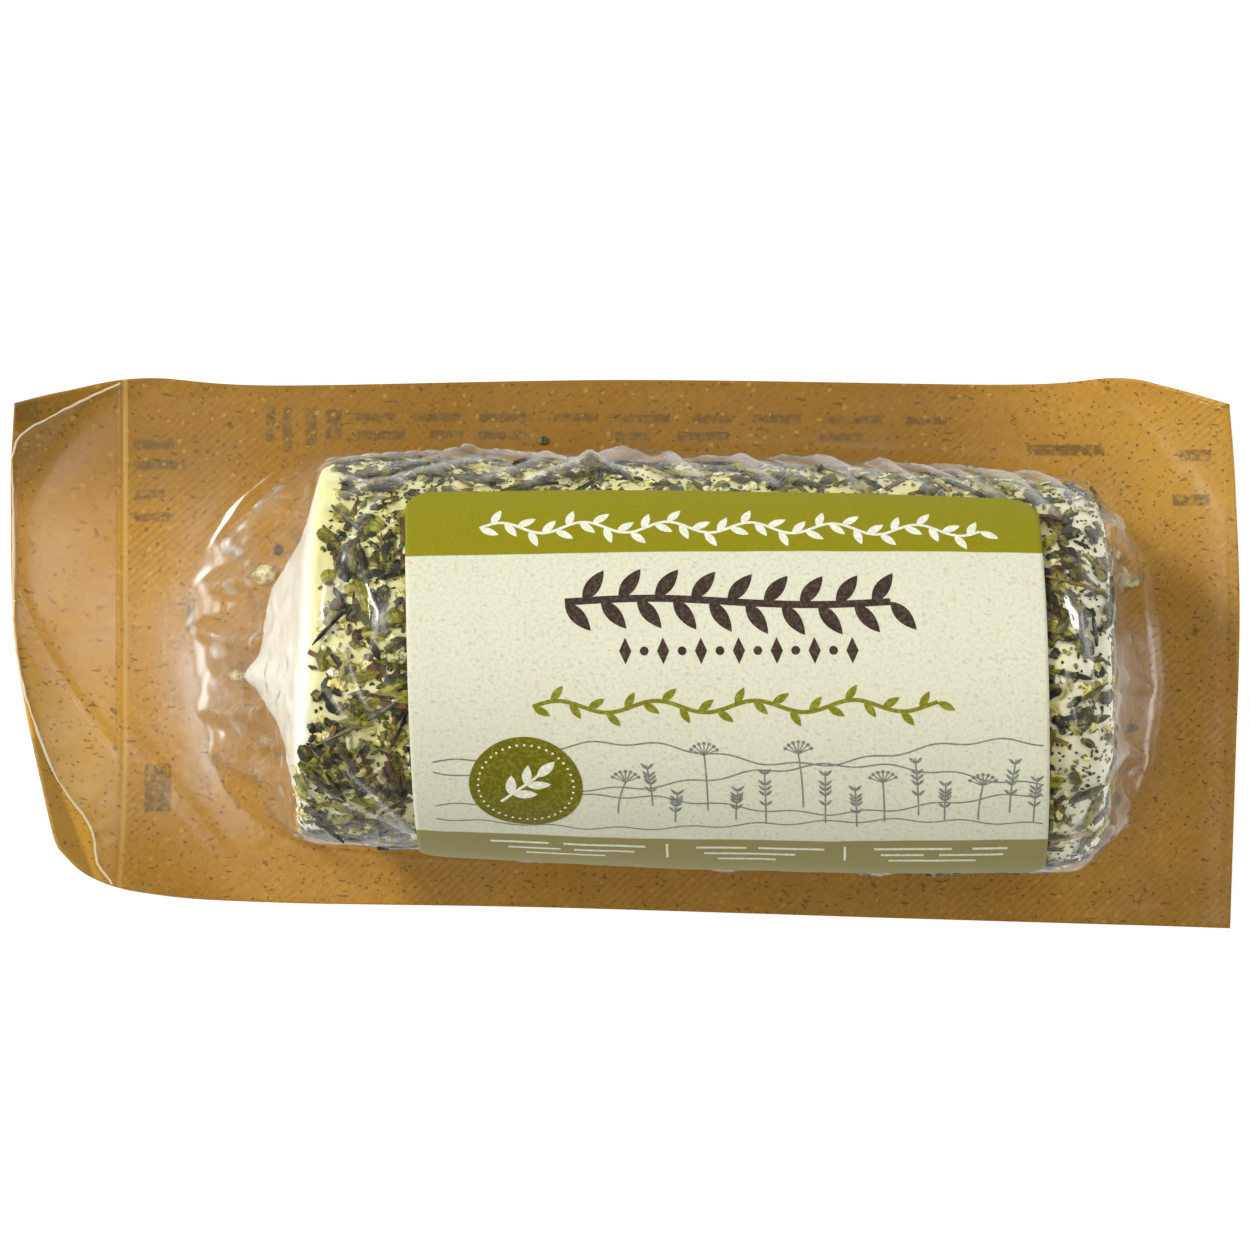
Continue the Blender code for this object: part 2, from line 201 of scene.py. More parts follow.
def makeFlecks():
    tree, start, end = newGroup("flecks", [("Vector", "NodeSocketVector", None),
                                           ("Size", "NodeSocketFloat", 0.001),
                                           ("Stretch", "NodeSocketFloat", 3.0),
                                           ("Turn", "NodeSocketFloat", 0.0),
                                           ("Share", "NodeSocketFloat", 0.3),
                                           ("Reach", "NodeSocketFloat", 0.2)],
                                [("Mask", "NodeSocketFloat")])
    wobble = addNode(tree, "ShaderNodeTexNoise", {"Vector": start["Vector"], "Scale": 700.0})
    shift = addNode(tree, "ShaderNodeVectorMath", {0: wobble.outputs["Color"],
                                                   1: (0.0007, 0.0007, 0.0007)},
                    operation="MULTIPLY")
    moved = addNode(tree, "ShaderNodeVectorMath", {0: start["Vector"], 1: shift.outputs[0]},
                    operation="ADD")
    turned = addNode(tree, "ShaderNodeVectorRotate", {"Vector": moved.outputs[0],
                                                      "Angle": start["Turn"]},
                     rotation_type="Z_AXIS")
    squeeze = addNode(tree, "ShaderNodeCombineXYZ", {"X": maths(tree, "DIVIDE", 1.0,
                                                                start["Stretch"]),
                                                     "Y": 1.0, "Z": 1.0})
    thin = addNode(tree, "ShaderNodeVectorMath", {0: turned.outputs[0], 1: squeeze.outputs[0]},
                   operation="MULTIPLY")
    cells = addNode(tree, "ShaderNodeTexVoronoi",
                    {"Vector": thin.outputs[0], "Scale": maths(tree, "DIVIDE", 1.0,
                                                               start["Size"])},
                    voronoi_dimensions="2D")
    pick = addNode(tree, "ShaderNodeSeparateColor", {"Color": cells.outputs["Color"]})
    chosen = maths(tree, "LESS_THAN", pick.outputs["Red"], start["Share"])
    vary = ranged(tree, pick.outputs["Green"], 0.0, 1.0, 0.5, 1.3, smooth=False)
    near = maths(tree, "DIVIDE", cells.outputs["Distance"],
                 maths(tree, "MULTIPLY", vary, start["Reach"]))
    spot = ranged(tree, near, 1.1, 0.65)
    tree.links.new(maths(tree, "MULTIPLY", chosen, spot), end["Mask"])
    return tree


def makeMottle():
    tree, start, end = newGroup("mottle", [("Vector", "NodeSocketVector", None),
                                           ("Size", "NodeSocketFloat", 0.005),
                                           ("Contrast", "NodeSocketFloat", 1.0)],
                                [("Value", "NodeSocketFloat")])
    scale = maths(tree, "DIVIDE", 1.0, start["Size"])
    broad = addNode(tree, "ShaderNodeTexNoise", {"Vector": start["Vector"], "Scale": scale,
                                                 "Detail": 5.0, "Roughness": 0.6})
    away = maths(tree, "SUBTRACT", broad.outputs["Fac"], 0.5)
    tree.links.new(maths(tree, "MULTIPLY_ADD", away, start["Contrast"], 0.5, clamp=True),
                   end["Value"])
    return tree


def makeRibs():
    # Slanting rows of small beads, as a seal bar presses into film
    tree, start, end = newGroup("ribs", [("Vector", "NodeSocketVector", None),
                                         ("Spacing", "NodeSocketFloat", 0.0007),
                                         ("Turn", "NodeSocketFloat", -0.72)],
                                [("Height", "NodeSocketFloat")])
    turned = addNode(tree, "ShaderNodeVectorRotate", {"Vector": start["Vector"],
                                                      "Angle": start["Turn"]})
    turned.rotation_type = "Z_AXIS"
    part = addNode(tree, "ShaderNodeSeparateXYZ", {"Vector": turned.outputs[0]})
    rate = maths(tree, "DIVIDE", 2 * math.pi, start["Spacing"])
    rows = maths(tree, "SINE", maths(tree, "MULTIPLY", part.outputs["Y"], rate))
    beads = maths(tree, "SINE", maths(tree, "MULTIPLY", part.outputs["X"],
                                      maths(tree, "MULTIPLY", rate, 0.8)))
    tree.links.new(maths(tree, "MULTIPLY_ADD", beads, 0.25, rows), end["Height"])
    return tree


flecks = makeFlecks()
mottle = makeMottle()
ribs = makeRibs()


# Backing sheet: the same outline and curls as the solid, with finer faces and a soft wave

backing = {
    "bottomEdge": [(-60.4, -20.7), (-57.2, -23.7), (-51.5, -25.7), (-39.6, -26.9), (-8, -27.5),
                   (31, -28.7), (65.4, -29.7)],
    "topEdge": [(-65.6, 26.9), (-60.5, 28.3), (-52, 29.8), (-38, 29), (0, 29.6), (41, 29.1),
                (53, 29.8), (58.5, 28.8), (64.9, 26.8)],
    "leftEdge": [(-60.4, -20.7), (-61.5, -17.6), (-64.6, -5.6), (-66.2, 4), (-66.4, 18),
                 (-65.6, 26.9)],
    "rightEdge": [(65.4, -29.7), (65.9, -14), (66.4, 4), (65.9, 18), (64.9, 26.8)],
    "curls": [((-60.4, -20.7), (-0.789, -0.614), 14.0, 11.0),
              ((-65.6, 26.9), (-0.69, 0.72), 9.0, 5.0),
              ((64.9, 26.8), (0.70, 0.71), 9.0, 4.5)],
    "endLift": 0.9,
    "endLiftFrom": 58.0,
    "endLiftOver": 8.5,
    "thickness": 0.32,
    # Where the seal starts; left of it the film can be peeled off
    "sealX": -54.1,
    "columns": 250,
    "rows": 120,
    "wave": 0.10,
}


def alongCurve(points, shares):
    points = np.array(points, float)
    steps = np.hypot(*np.diff(points, axis=0).T)
    lengths = np.concatenate(([0.0], np.cumsum(steps)))
    wanted = np.asarray(shares, float) * lengths[-1]
    i = np.clip(np.searchsorted(lengths, wanted, side="right") - 1, 0, len(points) - 2)
    s = ((wanted - lengths[i]) / steps[i])[..., None]
    before = points[np.maximum(i - 1, 0)]
    a = points[i]
    b = points[i + 1]
    after = points[np.minimum(i + 2, len(points) - 1)]
    return 0.5 * (2 * a + (b - before) * s + (2 * before - 5 * a + 4 * b - after) * s ** 2
                  + (3 * a - before - 3 * b + after) * s ** 3)


def sheetLift(x, y):
    height = 0.0 * x
    for corner, out, reach, lift in backing["curls"]:
        past = 1 + ((x - corner[0]) * out[0] + (y - corner[1]) * out[1]) / reach
        height = height + lift * np.maximum(past, 0) ** 2
    past = (np.abs(x) - backing["endLiftFrom"]) / backing["endLiftOver"]
    return height + backing["endLift"] * np.maximum(past, 0) ** 2


def sheetAbove(x, y, distance):
    step = 0.05
    slopeX = (sheetLift(x + step, y) - sheetLift(x - step, y)) / (2 * step)
    slopeY = (sheetLift(x, y + step) - sheetLift(x, y - step)) / (2 * step)
    return sheetLift(x, y) + distance * np.sqrt(1 + slopeX ** 2 + slopeY ** 2)


def makeBackingShape():
    u = np.linspace(0, 1, backing["columns"])[:, None]
    v = np.linspace(0, 1, backing["rows"])[None, :]
    bottom = alongCurve(backing["bottomEdge"], u)
    top = alongCurve(backing["topEdge"], u)
    left = alongCurve(backing["leftEdge"], v)
    right = alongCurve(backing["rightEdge"], v)
    u = u[..., None]
    v = v[..., None]
    low = bottom[:1] * (1 - u) + bottom[-1:] * u
    high = top[:1] * (1 - u) + top[-1:] * u
    plan = bottom * (1 - v) + top * v + left * (1 - u) + right * u - low * (1 - v) - high * v
    x = plan[..., 0]
    y = plan[..., 1]
    wave = Waves(3, 14).at(x, y)
    edge = smoothStep(np.minimum(np.abs(x) / 66, 1) ** 8 + np.minimum(np.abs(y) / 29.5, 1) ** 6,
                      0.2, 1)
    z = sheetAbove(x, y, 0.0) + backing["wave"] * edge * (1 + wave)
    return np.stack([x, y, z], -1)


def makeBar():
    # A soft-edged box, as far-off print that shows through the sheet
    tree, start, end = newGroup("bar", [("Vector", "NodeSocketVector", None),
                                        ("X", "NodeSocketFloat", 0.0),
                                        ("Y", "NodeSocketFloat", 0.0),
                                        ("Half Width", "NodeSocketFloat", 0.001),
                                        ("Half Height", "NodeSocketFloat", 0.001)],
                                [("Mask", "NodeSocketFloat")])
    part = addNode(tree, "ShaderNodeSeparateXYZ", {"Vector": start["Vector"]})
    masks = []
    for axis, middle, half in (("X", "X", "Half Width"), ("Y", "Y", "Half Height")):
        away = maths(tree, "ABSOLUTE", maths(tree, "SUBTRACT", part.outputs[axis],
                                             start[middle]))
        masks.append(ranged(tree, maths(tree, "SUBTRACT", start[half], away), -0.00015,
                            0.00015))
    tree.links.new(maths(tree, "MULTIPLY", *masks), end["Mask"])
    return tree


kraft = {
    "darker": (194, 142, 50),
    "paler": (204, 152, 60),
    "fineTone": (168, 118, 36),
    # Colour of the painted shade behind and in front of the log
    "paintedLogShade": (96, 66, 14),
    # Colour of the painted light and haze on the lower left end and upper right corner
    "paintedLitKraft": (250, 196, 84),
    "rows": (136, 94, 24),
    "faintPrint": (104, 84, 48),
    # Colour of the painted highlight along the seal line
    "sealHighlight": (232, 184, 100),
    # Colour of the painted shade on the curled left corners
    "curlShade": (112, 88, 44),
    # Size, stretch, turn, share of cells, reach, colour and strength
    "flecks": [(0.0008, 1.2, 0.3, 0.36, 0.16, (98, 72, 34), 0.68),
               (0.0006, 1.3, 1.3, 0.28, 0.16, (112, 82, 40), 0.58),
               (0.0009, 4.5, 0.10, 0.22, 0.12, (94, 70, 36), 0.62),
               (0.0010, 3.5, -0.45, 0.13, 0.12, (98, 74, 38), 0.56),
               (0.0009, 3.0, 0.70, 0.10, 0.13, (94, 70, 36), 0.58),
               (0.0022, 1.5, 0.9, 0.05, 0.11, (84, 62, 34), 0.56),
               (0.0012, 1.2, 2.6, 0.30, 0.18, (220, 174, 92), 0.35)],
}
# Faint bars of print that show through: x, y, half width, half height
faintBars = [
    (-51.0, 22.6, 2.2, 0.5), (-50.4, 20.4, 2.8, 0.5), (-51.4, 17.2, 1.6, 0.5),
    (-51.0, 14.8, 2.3, 0.5), (-38.4, 24.8, 0.5, 1.9), (-36.6, 24.2, 0.5, 2.4),
    (-34.0, 24.6, 0.6, 2.0), (-31.6, 24.8, 0.9, 1.6), (-27.0, 25.6, 2.2, 0.45),
    (-26.4, 23.6, 2.6, 0.45), (-20.4, 25.6, 2.6, 0.45), (-19.4, 23.7, 1.8, 0.45),
    (-13.0, 25.5, 2.9, 0.45), (-13.6, 23.6, 2.2, 0.45), (-5.4, 25.5, 2.4, 0.45),
    (1.8, 25.4, 3.0, 0.45), (0.6, 23.5, 2.2, 0.45), (9.4, 25.4, 2.2, 0.45),
    (8.4, 23.5, 2.8, 0.45), (16.4, 25.4, 2.6, 0.45), (24.6, 25.3, 3.2, 0.45),
    (23.4, 23.4, 2.4, 0.45), (32.6, 25.2, 2.2, 0.45), (47.6, 22.0, 4.2, 0.6),
    (61.6, 21.4, 1.6, 0.6), (61.2, 16.6, 2.0, 0.6), (-50.6, -14.5, 1.4, 2.6),
    (-47.0, 4.2, 0.45, 1.7),
]


def makeKraft():
    material, tree, shader = newMaterial("kraftPaper", Roughness=0.5)
    shader.inputs["Specular IOR Level"].default_value = 0.2
    where = addNode(tree, "ShaderNodeTexCoord").outputs["Object"]
    broad = useGroup(tree, mottle, {"Vector": where, "Size": 0.02, "Contrast": 1.3})["Value"]
    fine = useGroup(tree, mottle, {"Vector": where, "Size": 0.0007, "Contrast": 1.8})["Value"]
    base = blended(tree, ranged(tree, broad, 0.3, 0.7), screenColour(*kraft["darker"]),
                   screenColour(*kraft["paler"]))
    base = blended(tree, ranged(tree, fine, 0.2, 0.8, 0.0, 0.4), base,
                   screenColour(*kraft["fineTone"]))
    part = addNode(tree, "ShaderNodeSeparateXYZ", {"Vector": where})
    sealX = backing["sealX"]
    sealed = ranged(tree, part.outputs["X"], (sealX - 0.3) * mm, (sealX + 0.3) * mm)
    # Painted shade: the sheet is darkened along its top edge behind the log and along its bottom
    # edge in front of it, more towards the right
    logShadeMask = maths(tree, "MULTIPLY", ranged(tree, part.outputs["X"], 50 * mm, 30 * mm),
                   ranged(tree, part.outputs["Y"], 12 * mm, 22 * mm, 0.0, 0.46))
    logShadeMask = maths(tree, "MAXIMUM", logShadeMask,
                   maths(tree, "MULTIPLY", ranged(tree, part.outputs["Y"], -20 * mm, -26 * mm),
                         ranged(tree, part.outputs["X"], -15 * mm, 30 * mm, 0.0, 0.18)))
    base = blended(tree, logShadeMask, base, screenColour(*kraft["paintedLogShade"]))
    # Painted light and haze: the sheet is made paler at the lower left end and the upper right
    # corner
    litPatch = maths(tree, "MULTIPLY", ranged(tree, part.outputs["X"], -52 * mm, -58 * mm),
                  ranged(tree, part.outputs["Y"], 2 * mm, -12 * mm, 0.0, 0.42))
    litPatch = maths(tree, "MAXIMUM", litPatch,
                  maths(tree, "MULTIPLY", ranged(tree, part.outputs["Y"], 8 * mm, 18 * mm),
                        ranged(tree, part.outputs["X"], 44 * mm, 60 * mm, 0.0, 0.32)))
    base = blended(tree, litPatch, base, screenColour(*kraft["paintedLitKraft"]))
    # Slanting rows from the seal bar, stronger in some places
    beads = useGroup(tree, ribs, {"Vector": where})["Height"]
    patch = useGroup(tree, mottle, {"Vector": where, "Size": 0.03, "Contrast": 3.0})["Value"]
    patch = ranged(tree, patch, 0.3, 0.8, 0.12, 1.0)
    rows = maths(tree, "MULTIPLY", maths(tree, "MULTIPLY", beads, sealed), patch)
    shade = blended(tree, ranged(tree, rows, -0.4, 1.1, 0.0, 0.30), base,
                    screenColour(*kraft["rows"]))
    smudge = 0.0
    for x, y, halfWidth, halfHeight in faintBars:
        bar = useGroup(tree, faintBar, {"Vector": where, "X": x * mm, "Y": y * mm,
                                        "Half Width": halfWidth * mm,
                                        "Half Height": halfHeight * mm})["Mask"]
        smudge = bar if smudge == 0.0 else maths(tree, "MAXIMUM", smudge, bar)
    worn = ranged(tree, fine, 0.25, 0.65, 0.15, 0.72)
    shade = blended(tree, maths(tree, "MULTIPLY", smudge, worn), shade,
                    screenColour(*kraft["faintPrint"]))
    for size, stretch, turn, share, reach, colour, strength in kraft["flecks"]:
        mask = useGroup(tree, flecks, {"Vector": where, "Size": size, "Stretch": stretch,
                                       "Turn": turn, "Share": share, "Reach": reach})["Mask"]
        shade = blended(tree, maths(tree, "MULTIPLY", mask, strength), shade,
                        screenColour(*colour))
    # The seal starts at a straight line, left of which the sheet peels; a painted highlight runs
    # pale along that line
    line = maths(tree, "ABSOLUTE", maths(tree, "SUBTRACT", part.outputs["X"], sealX * mm))
    shade = blended(tree, ranged(tree, line, 0.36 * mm, 0.12 * mm, 0.0, 0.5), shade,
                    screenColour(*kraft["sealHighlight"]))
    # Painted shade: a darker strip along the left edge, above and below, where the corners curl up
    offEdge = maths(tree, "ADD", part.outputs["X"], 66.2 * mm)
    corner = maths(tree, "MULTIPLY", ranged(tree, part.outputs["Y"], 24.8 * mm, 25.1 * mm),
                   ranged(tree, offEdge, 3.1 * mm, 2.8 * mm))
    slant = maths(tree, "MULTIPLY_ADD", part.outputs["Y"], 0.42, part.outputs["X"])
    low = maths(tree, "MULTIPLY", ranged(tree, slant, -66.4 * mm, -66.9 * mm),
                ranged(tree, part.outputs["Y"], -8.0 * mm, -9.5 * mm))
    edge = maths(tree, "MAXIMUM", corner, low)
    shade = blended(tree, maths(tree, "MULTIPLY", edge, 0.5), shade,
                    screenColour(*kraft["curlShade"]))
    tree.links.new(shade, shader.inputs["Base Color"])
    pressed = maths(tree, "MULTIPLY", beads, maths(tree, "MULTIPLY", sealed, -1.0))
    bump = addNode(tree, "ShaderNodeBump", {"Height": pressed, "Distance": 0.00001,
                                            "Strength": 0.5})
    tree.links.new(bump.outputs[0], shader.inputs["Normal"])
    return material


faintBar = makeBar()
kraftPaper = makeKraft()
backingShape = makeBackingShape()
backingSheet = newPiece("kraftSheet", backingShape.reshape(-1, 3),
                        gridFaces(backing["columns"], backing["rows"]), kraftPaper)
backingSheet.data.flip_normals()
thicken(backingSheet, backing["thickness"], 1)
place(backingSheet, "kraft_web", "backing_sheet")
print("backing sheet made")


# Log: the shape of the film-covered log, which the film, cheese, herbs and label share

log = {
    "base": 0.7,
    "top": 42.0,
    "centreZ": 20.9,
    "left": -33.4,
    "right": 50.3,
    "middleY": -0.55,
    "turn": -0.035,
    "leftLean": 0.06,
    "radius": 21.45,
    "radiusX": 12.0,
    "taper": 0.00062,
    "flankSpread": 0.9,
    "arcShare": 7.5 / 10.5,
    "leftRound": 2.2,
    "rightRound": 4.6,
}
tents = {
    "leftEnd": -48.4,
    "leftSag": 5.6,
    "leftNarrow": 0.52,
    "rightEnd": 57.3,
    "rightSag": 2.6,
    "rightNarrow": 0.52,
}


def logY(x):
    return log["middleY"] + log["turn"] * x


def logRadius(x):
    return log["radius"] - log["taper"] * (x - log["radiusX"]) ** 2


def filmShares(x):
    # Width, height and tent share of the pocket at x
    height = log["top"] - log["base"]
    wide = np.ones_like(x)
    high = np.ones_like(x)
    tent = np.zeros_like(x)
    past = np.clip(1 - (x - log["left"] - 0.3) / log["leftRound"], 0, 1)
    drop = 0.6 * 0.5 * log["leftRound"] * (1 - np.sqrt(1 - past ** 2)) / log["radius"]
    wide -= drop
    high -= drop
    past = np.clip((x - log["right"] + log["rightRound"]) / log["rightRound"], 0, 0.985)
    drop = log["rightRound"] * (1 - np.sqrt(1 - past ** 2)) / log["radius"]
    wide -= 0.85 * drop
    high -= 0.6 * drop
    for end, start, sag, narrow, fullWide, fullHigh in (
            (tents["leftEnd"], log["left"], tents["leftSag"], tents["leftNarrow"], 0.98, 0.94),
            (tents["rightEnd"], log["right"], tents["rightSag"], tents["rightNarrow"], 0.83,
             0.84)):
        length = abs(end - start)
        d = np.clip((start - x) * math.copysign(1, start - end), 0, length)
        out = d > 0
        share = d / length
        fall = fullHigh * np.exp(-d / sag) * (1 - share ** 3) ** 2
        power = 1.7 if end < 0 else 1.3
        wide = np.where(out, fullWide - (fullWide - narrow) * share ** power, wide)
        high = np.where(out, fall, high)
        tent = np.where(out, np.minimum(1, 1.1 * share), tent)
    return wide, high, tent, height


def pocketPoint(x, side):
    # Offset across the log and height over its base; side runs from 1 at the back to -1
    wide, high, tent, height = filmShares(x)
    radius = logRadius(x)
    foot = radius + log["flankSpread"]
    rise = log["centreZ"] - log["base"]
    t = np.abs(side)
    down = np.clip((t - log["arcShare"]) / (1 - log["arcShare"]), 0, 1)
    angle = np.minimum(t / log["arcShare"], 1) * math.pi / 2
    onArc = t <= log["arcShare"]
    y = np.where(onArc, radius * np.sin(angle), radius + log["flankSpread"] * down ** 1.5)
    z = np.where(onArc, rise + (log["top"] - log["centreZ"]) * np.cos(angle), rise * (1 - down))
    y = y * (1 - tent) + foot * t * tent
    z = z * (1 - tent) + height * (1 - t) ** 2 * tent
    return np.sign(side) * y * wide, z * high


# Label outline, needed by the film and herbs under it

label = {
    "left": -22.6,
    "right": 42.3,
    "skew": 1.25,
    "height": 50.0,
    # Angles from straight up at the left and right ends of the back and front edges
    "back": (math.radians(51.0), math.radians(57.0)),
    "front": (math.radians(-82.3), math.radians(-74.7)),
    "corner": 3.1,
    "thickness": 0.16,
    "above": 0.34,
    "columns": 150,
    "rows": 150,
}


def labelEdges(x):
    share = np.clip((x - label["left"]) / (label["right"] - label["left"]), -0.3, 1.3)
    back = label["back"][0] + (label["back"][1] - label["back"][0]) * share
    front = label["front"][0] + (label["front"][1] - label["front"][0]) * share
    return back, front


def underLabel(x, angle, soft):
    # 1 well inside the label's outline, 0 outside it
    back, front = labelEdges(x)
    down = (back - angle) / (back - front)
    slide = label["skew"] * np.clip(down, 0, 1)
    inside = np.minimum(x - label["left"] - slide, label["right"] + slide - x)
    inside = np.minimum(inside, down * label["height"])
    inside = np.minimum(inside, (1 - down) * label["height"])
    return smoothStep(inside, 0, soft)


# Clear film: one sheet with its flat border, pocket, folds and free peel end

film = {
    "inset": 0.3,
    "above": 0.46,
    "thickness": 0.07,
    "peelEdgeBack": [(-66.1, 21.0), (-65.7, 22.6), (-64.5, 24.0), (-60, 26.6), (-54.4, 29.3)],
    "peelEdgeFront": [(-66.1, 4.0), (-65.4, -1.0), (-64.1, -5.8), (-61.1, -13), (-57.5, -18.2),
                      (-56.9, -20.2), (-56.4, -22.4), (-54.9, -24.4)],
    "peelLift": 1.0,
    "borderRows": 10,
    "pocketRows": 144,
    "fineFold": 0.07,
    # x, y, reach in x and y, and how much more than elsewhere
    "milky": [(-44.0, 1, 4.6, 14, 0.13), (-47, -3, 6, 12, 0.02), (53.8, -3, 3.5, 13, 0.15),
              (62, 18, 6, 9, 0.014), (-60, -9, 6, 12, 0.020)],
    "rimEnd": -54.6,
    "rimStops": 700,
    "rimWidth": 0.24,
}
# Folds as lines over the log: x and angle in degrees at each point, then width and height
folds = [
    ([(-18, 88), (-8, 74), (4.5, 60)], 0.75, 0.69),
    ([(-31, 72), (-22, 80), (-12, 90)], 0.69, 0.56),
    ([(-31.5, 60), (-26, 55), (-21, 54)], 0.62, 0.50),
    ([(6, 80), (12, 76), (19, 62)], 0.62, 0.62),
    ([(14, 92), (20, 80), (28, 62)], 0.69, 0.62),
    ([(24, 90), (31, 78), (36, 60)], 0.62, 0.56),
    ([(30, 92), (37, 80), (43, 58)], 0.62, 0.56),
    ([(40, 88), (44, 74), (47, 52)], 0.75, 0.62),
    ([(-29, 30), (-26, 20), (-24.5, 4)], 0.56, 0.35),
    ([(-31, 12), (-28, -2), (-26.5, -16)], 0.56, 0.31),
    ([(-27, -10), (-24.5, -24), (-24, -38)], 0.56, 0.35),
    ([(45.5, 40), (47, 26), (46, 12)], 0.56, 0.35),
    ([(-10.5, 56), (-4, 68), (2.4, 92)], 1.10, 1.12),
    ([(3.5, 94), (5.5, 72), (8.2, 57)], 0.85, 0.71),
    ([(-30, 46), (-21.5, 62), (-13, 76)], 0.76, 0.59),
    ([(-27, 60), (-20, 74), (-16, 88)], 0.68, 0.41),
    ([(-15.2, 57), (-11, 66), (-6.8, 78)], 0.68, 0.54),
    ([(10.2, 88), (13, 70), (16, 57)], 0.68, 0.59),
    ([(18.5, 90), (22, 72), (24.5, 57)], 0.76, 0.47),
    ([(26, 88), (29, 70), (31.5, 57)], 0.68, 0.54),
    ([(33, 86), (36, 68), (39, 56)], 0.68, 0.47),
    ([(38, 84), (41, 64), (44.5, 48)], 0.76, 0.59),
    ([(-22.8, 60), (-25.1, 49), (-28.6, 27), (-29.9, 9)], 0.68, 0.41),
    ([(-23.6, 19), (-25, 8), (-26.4, -6)], 0.60, 0.35),
    ([(-29.5, -29), (-25, -46), (-21, -64)], 0.68, 0.47),
    ([(-29.8, -46), (-25, -54), (-21, -64)], 0.60, 0.41),
    ([(-31, -8), (-27, -24), (-23.5, -44)], 0.68, 0.35),
    ([(-32.5, 35), (-30.5, 20), (-30.5, 0)], 0.60, 0.30),
    ([(44.2, 30), (46.5, 12), (47.5, -8)], 0.68, 0.41),
    ([(43.8, -20), (46, -36), (46.5, -60)], 0.68, 0.41),
    ([(44, 5), (46, -12), (45.5, -30)], 0.60, 0.30),
    ([(-12, -88), (-8, -106), (-9, -130)], 0.94, 0.59),
    ([(9, -87), (12, -108), (10, -134)], 1.02, 0.59),
    ([(28, -87), (25, -106), (27, -130)], 0.94, 0.59),
    ([(-20, 92), (-17, 110), (-19, 132)], 0.85, 0.54),
    ([(2.4, 92), (4, 108), (1, 130)], 1.02, 0.71),
    ([(20, 92), (18, 108), (21, 132)], 0.85, 0.54),
    ([(36, 90), (38, 108), (36, 130)], 0.85, 0.54),
]
# Folds in the tents at the log's ends, as lines in plan, then width and height
tentFolds = [
    ([(-34, 17), (-39, 14.5), (-44, 11.5)], 1.1, 1.5),
    ([(-34.5, 8), (-41, 8.0), (-47, 7.2)], 1.0, 1.0),
    ([(-36, 1), (-42, 1.5), (-48, 3)], 0.9, 0.9),
    ([(-36, -6), (-42, -6.5), (-47.5, -6)], 1.0, 1.0),
    ([(-35, -13), (-40, -12), (-45, -10.5)], 1.0, 1.3),
    ([(48.5, 16), (52, 12), (56.2, 8)], 0.9, 1.6),
    ([(50.4, 9), (53, 8.2), (55.8, 7.6)], 0.8, 1.3),
    ([(50.6, -2), (53.5, -3), (57, -4)], 0.8, 0.9),
    ([(49.2, -11), (52.5, -10), (56.6, -12.5)], 0.8, 1.2),
    ([(47.8, -21), (51.8, -16.5), (53.6, -15)], 0.9, 1.5),
]


# Small dimples in the tents, where the film glints and is made denser as a painted glint: x, y,
# radius and height
dimples = [
    (-42.9, 11.6, 0.9, 0.50), (-41.6, 10.9, 0.5, 0.28), (-38.1, 15.4, 0.8, 0.50),
    (-42.1, 6.8, 0.7, 0.46), (-40.6, 9.7, 0.5, 0.3), (-39.4, 7.4, 0.5, 0.3),
    (-36.6, 17.4, 0.6, 0.34), (-38.2, -9.2, 0.5, 0.3), (-43.6, 0.5, 1.2, 0.4),
    (-41.5, -7.5, 1.1, 0.4), (52.6, 7.4, 0.6, 0.3),
    (54.8, -12.6, 0.7, 0.4), (53.8, -18.4, 0.6, 0.34), (51.4, 13.6, 0.6, 0.3),
    (54.0, 1.5, 0.5, 0.3),
]


def nearLine(x, y, points, width):
    # 1 on a bent line, falling to 0 away from it and towards its ends
    best = np.zeros_like(x)
    total = len(points) - 1
    for i in range(total):
        ax, ay = points[i]
        bx, by = points[i + 1]
        dx = bx - ax
        dy = by - ay
        t = np.clip(((x - ax) * dx + (y - ay) * dy) / (dx * dx + dy * dy), 0, 1)
        away = np.hypot(x - ax - t * dx, y - ay - t * dy)
        share = (i + t) / total
        ends = np.clip(np.minimum(share, 1 - share) * 5, 0, 1)
        best = np.maximum(best, np.exp(-(away / width) ** 2) * (0.15 + 0.85 * ends))
    return best


def filmStations():
    parts = [
        np.linspace(-66.1, -55.4, 20, endpoint=False),
        np.linspace(-55.4, -53, 14, endpoint=False),
        np.linspace(-53, -34.5, 48, endpoint=False),
        np.linspace(-34.5, -20, 40, endpoint=False),
        np.linspace(-20, 43, 126, endpoint=False),
        np.linspace(43, 58, 38, endpoint=False),
        np.linspace(58, 65.9, 8),
    ]
    return np.concatenate(parts)


def edgeAt(points, x):
    line = alongCurve(points, np.linspace(0, 1, 400))
    return np.interp(x, line[:, 0], line[:, 1])


def softened(values, times, weight):
    for _ in range(times):
        mean = values.copy()
        mean[:, 1:-1] = (values[:, :-2] + values[:, 2:] + 2 * values[:, 1:-1]) / 4
        mean[1:-1] = (mean[:-2] + mean[2:] + 2 * mean[1:-1]) / 4
        values = values + (mean - values) * weight
    return values


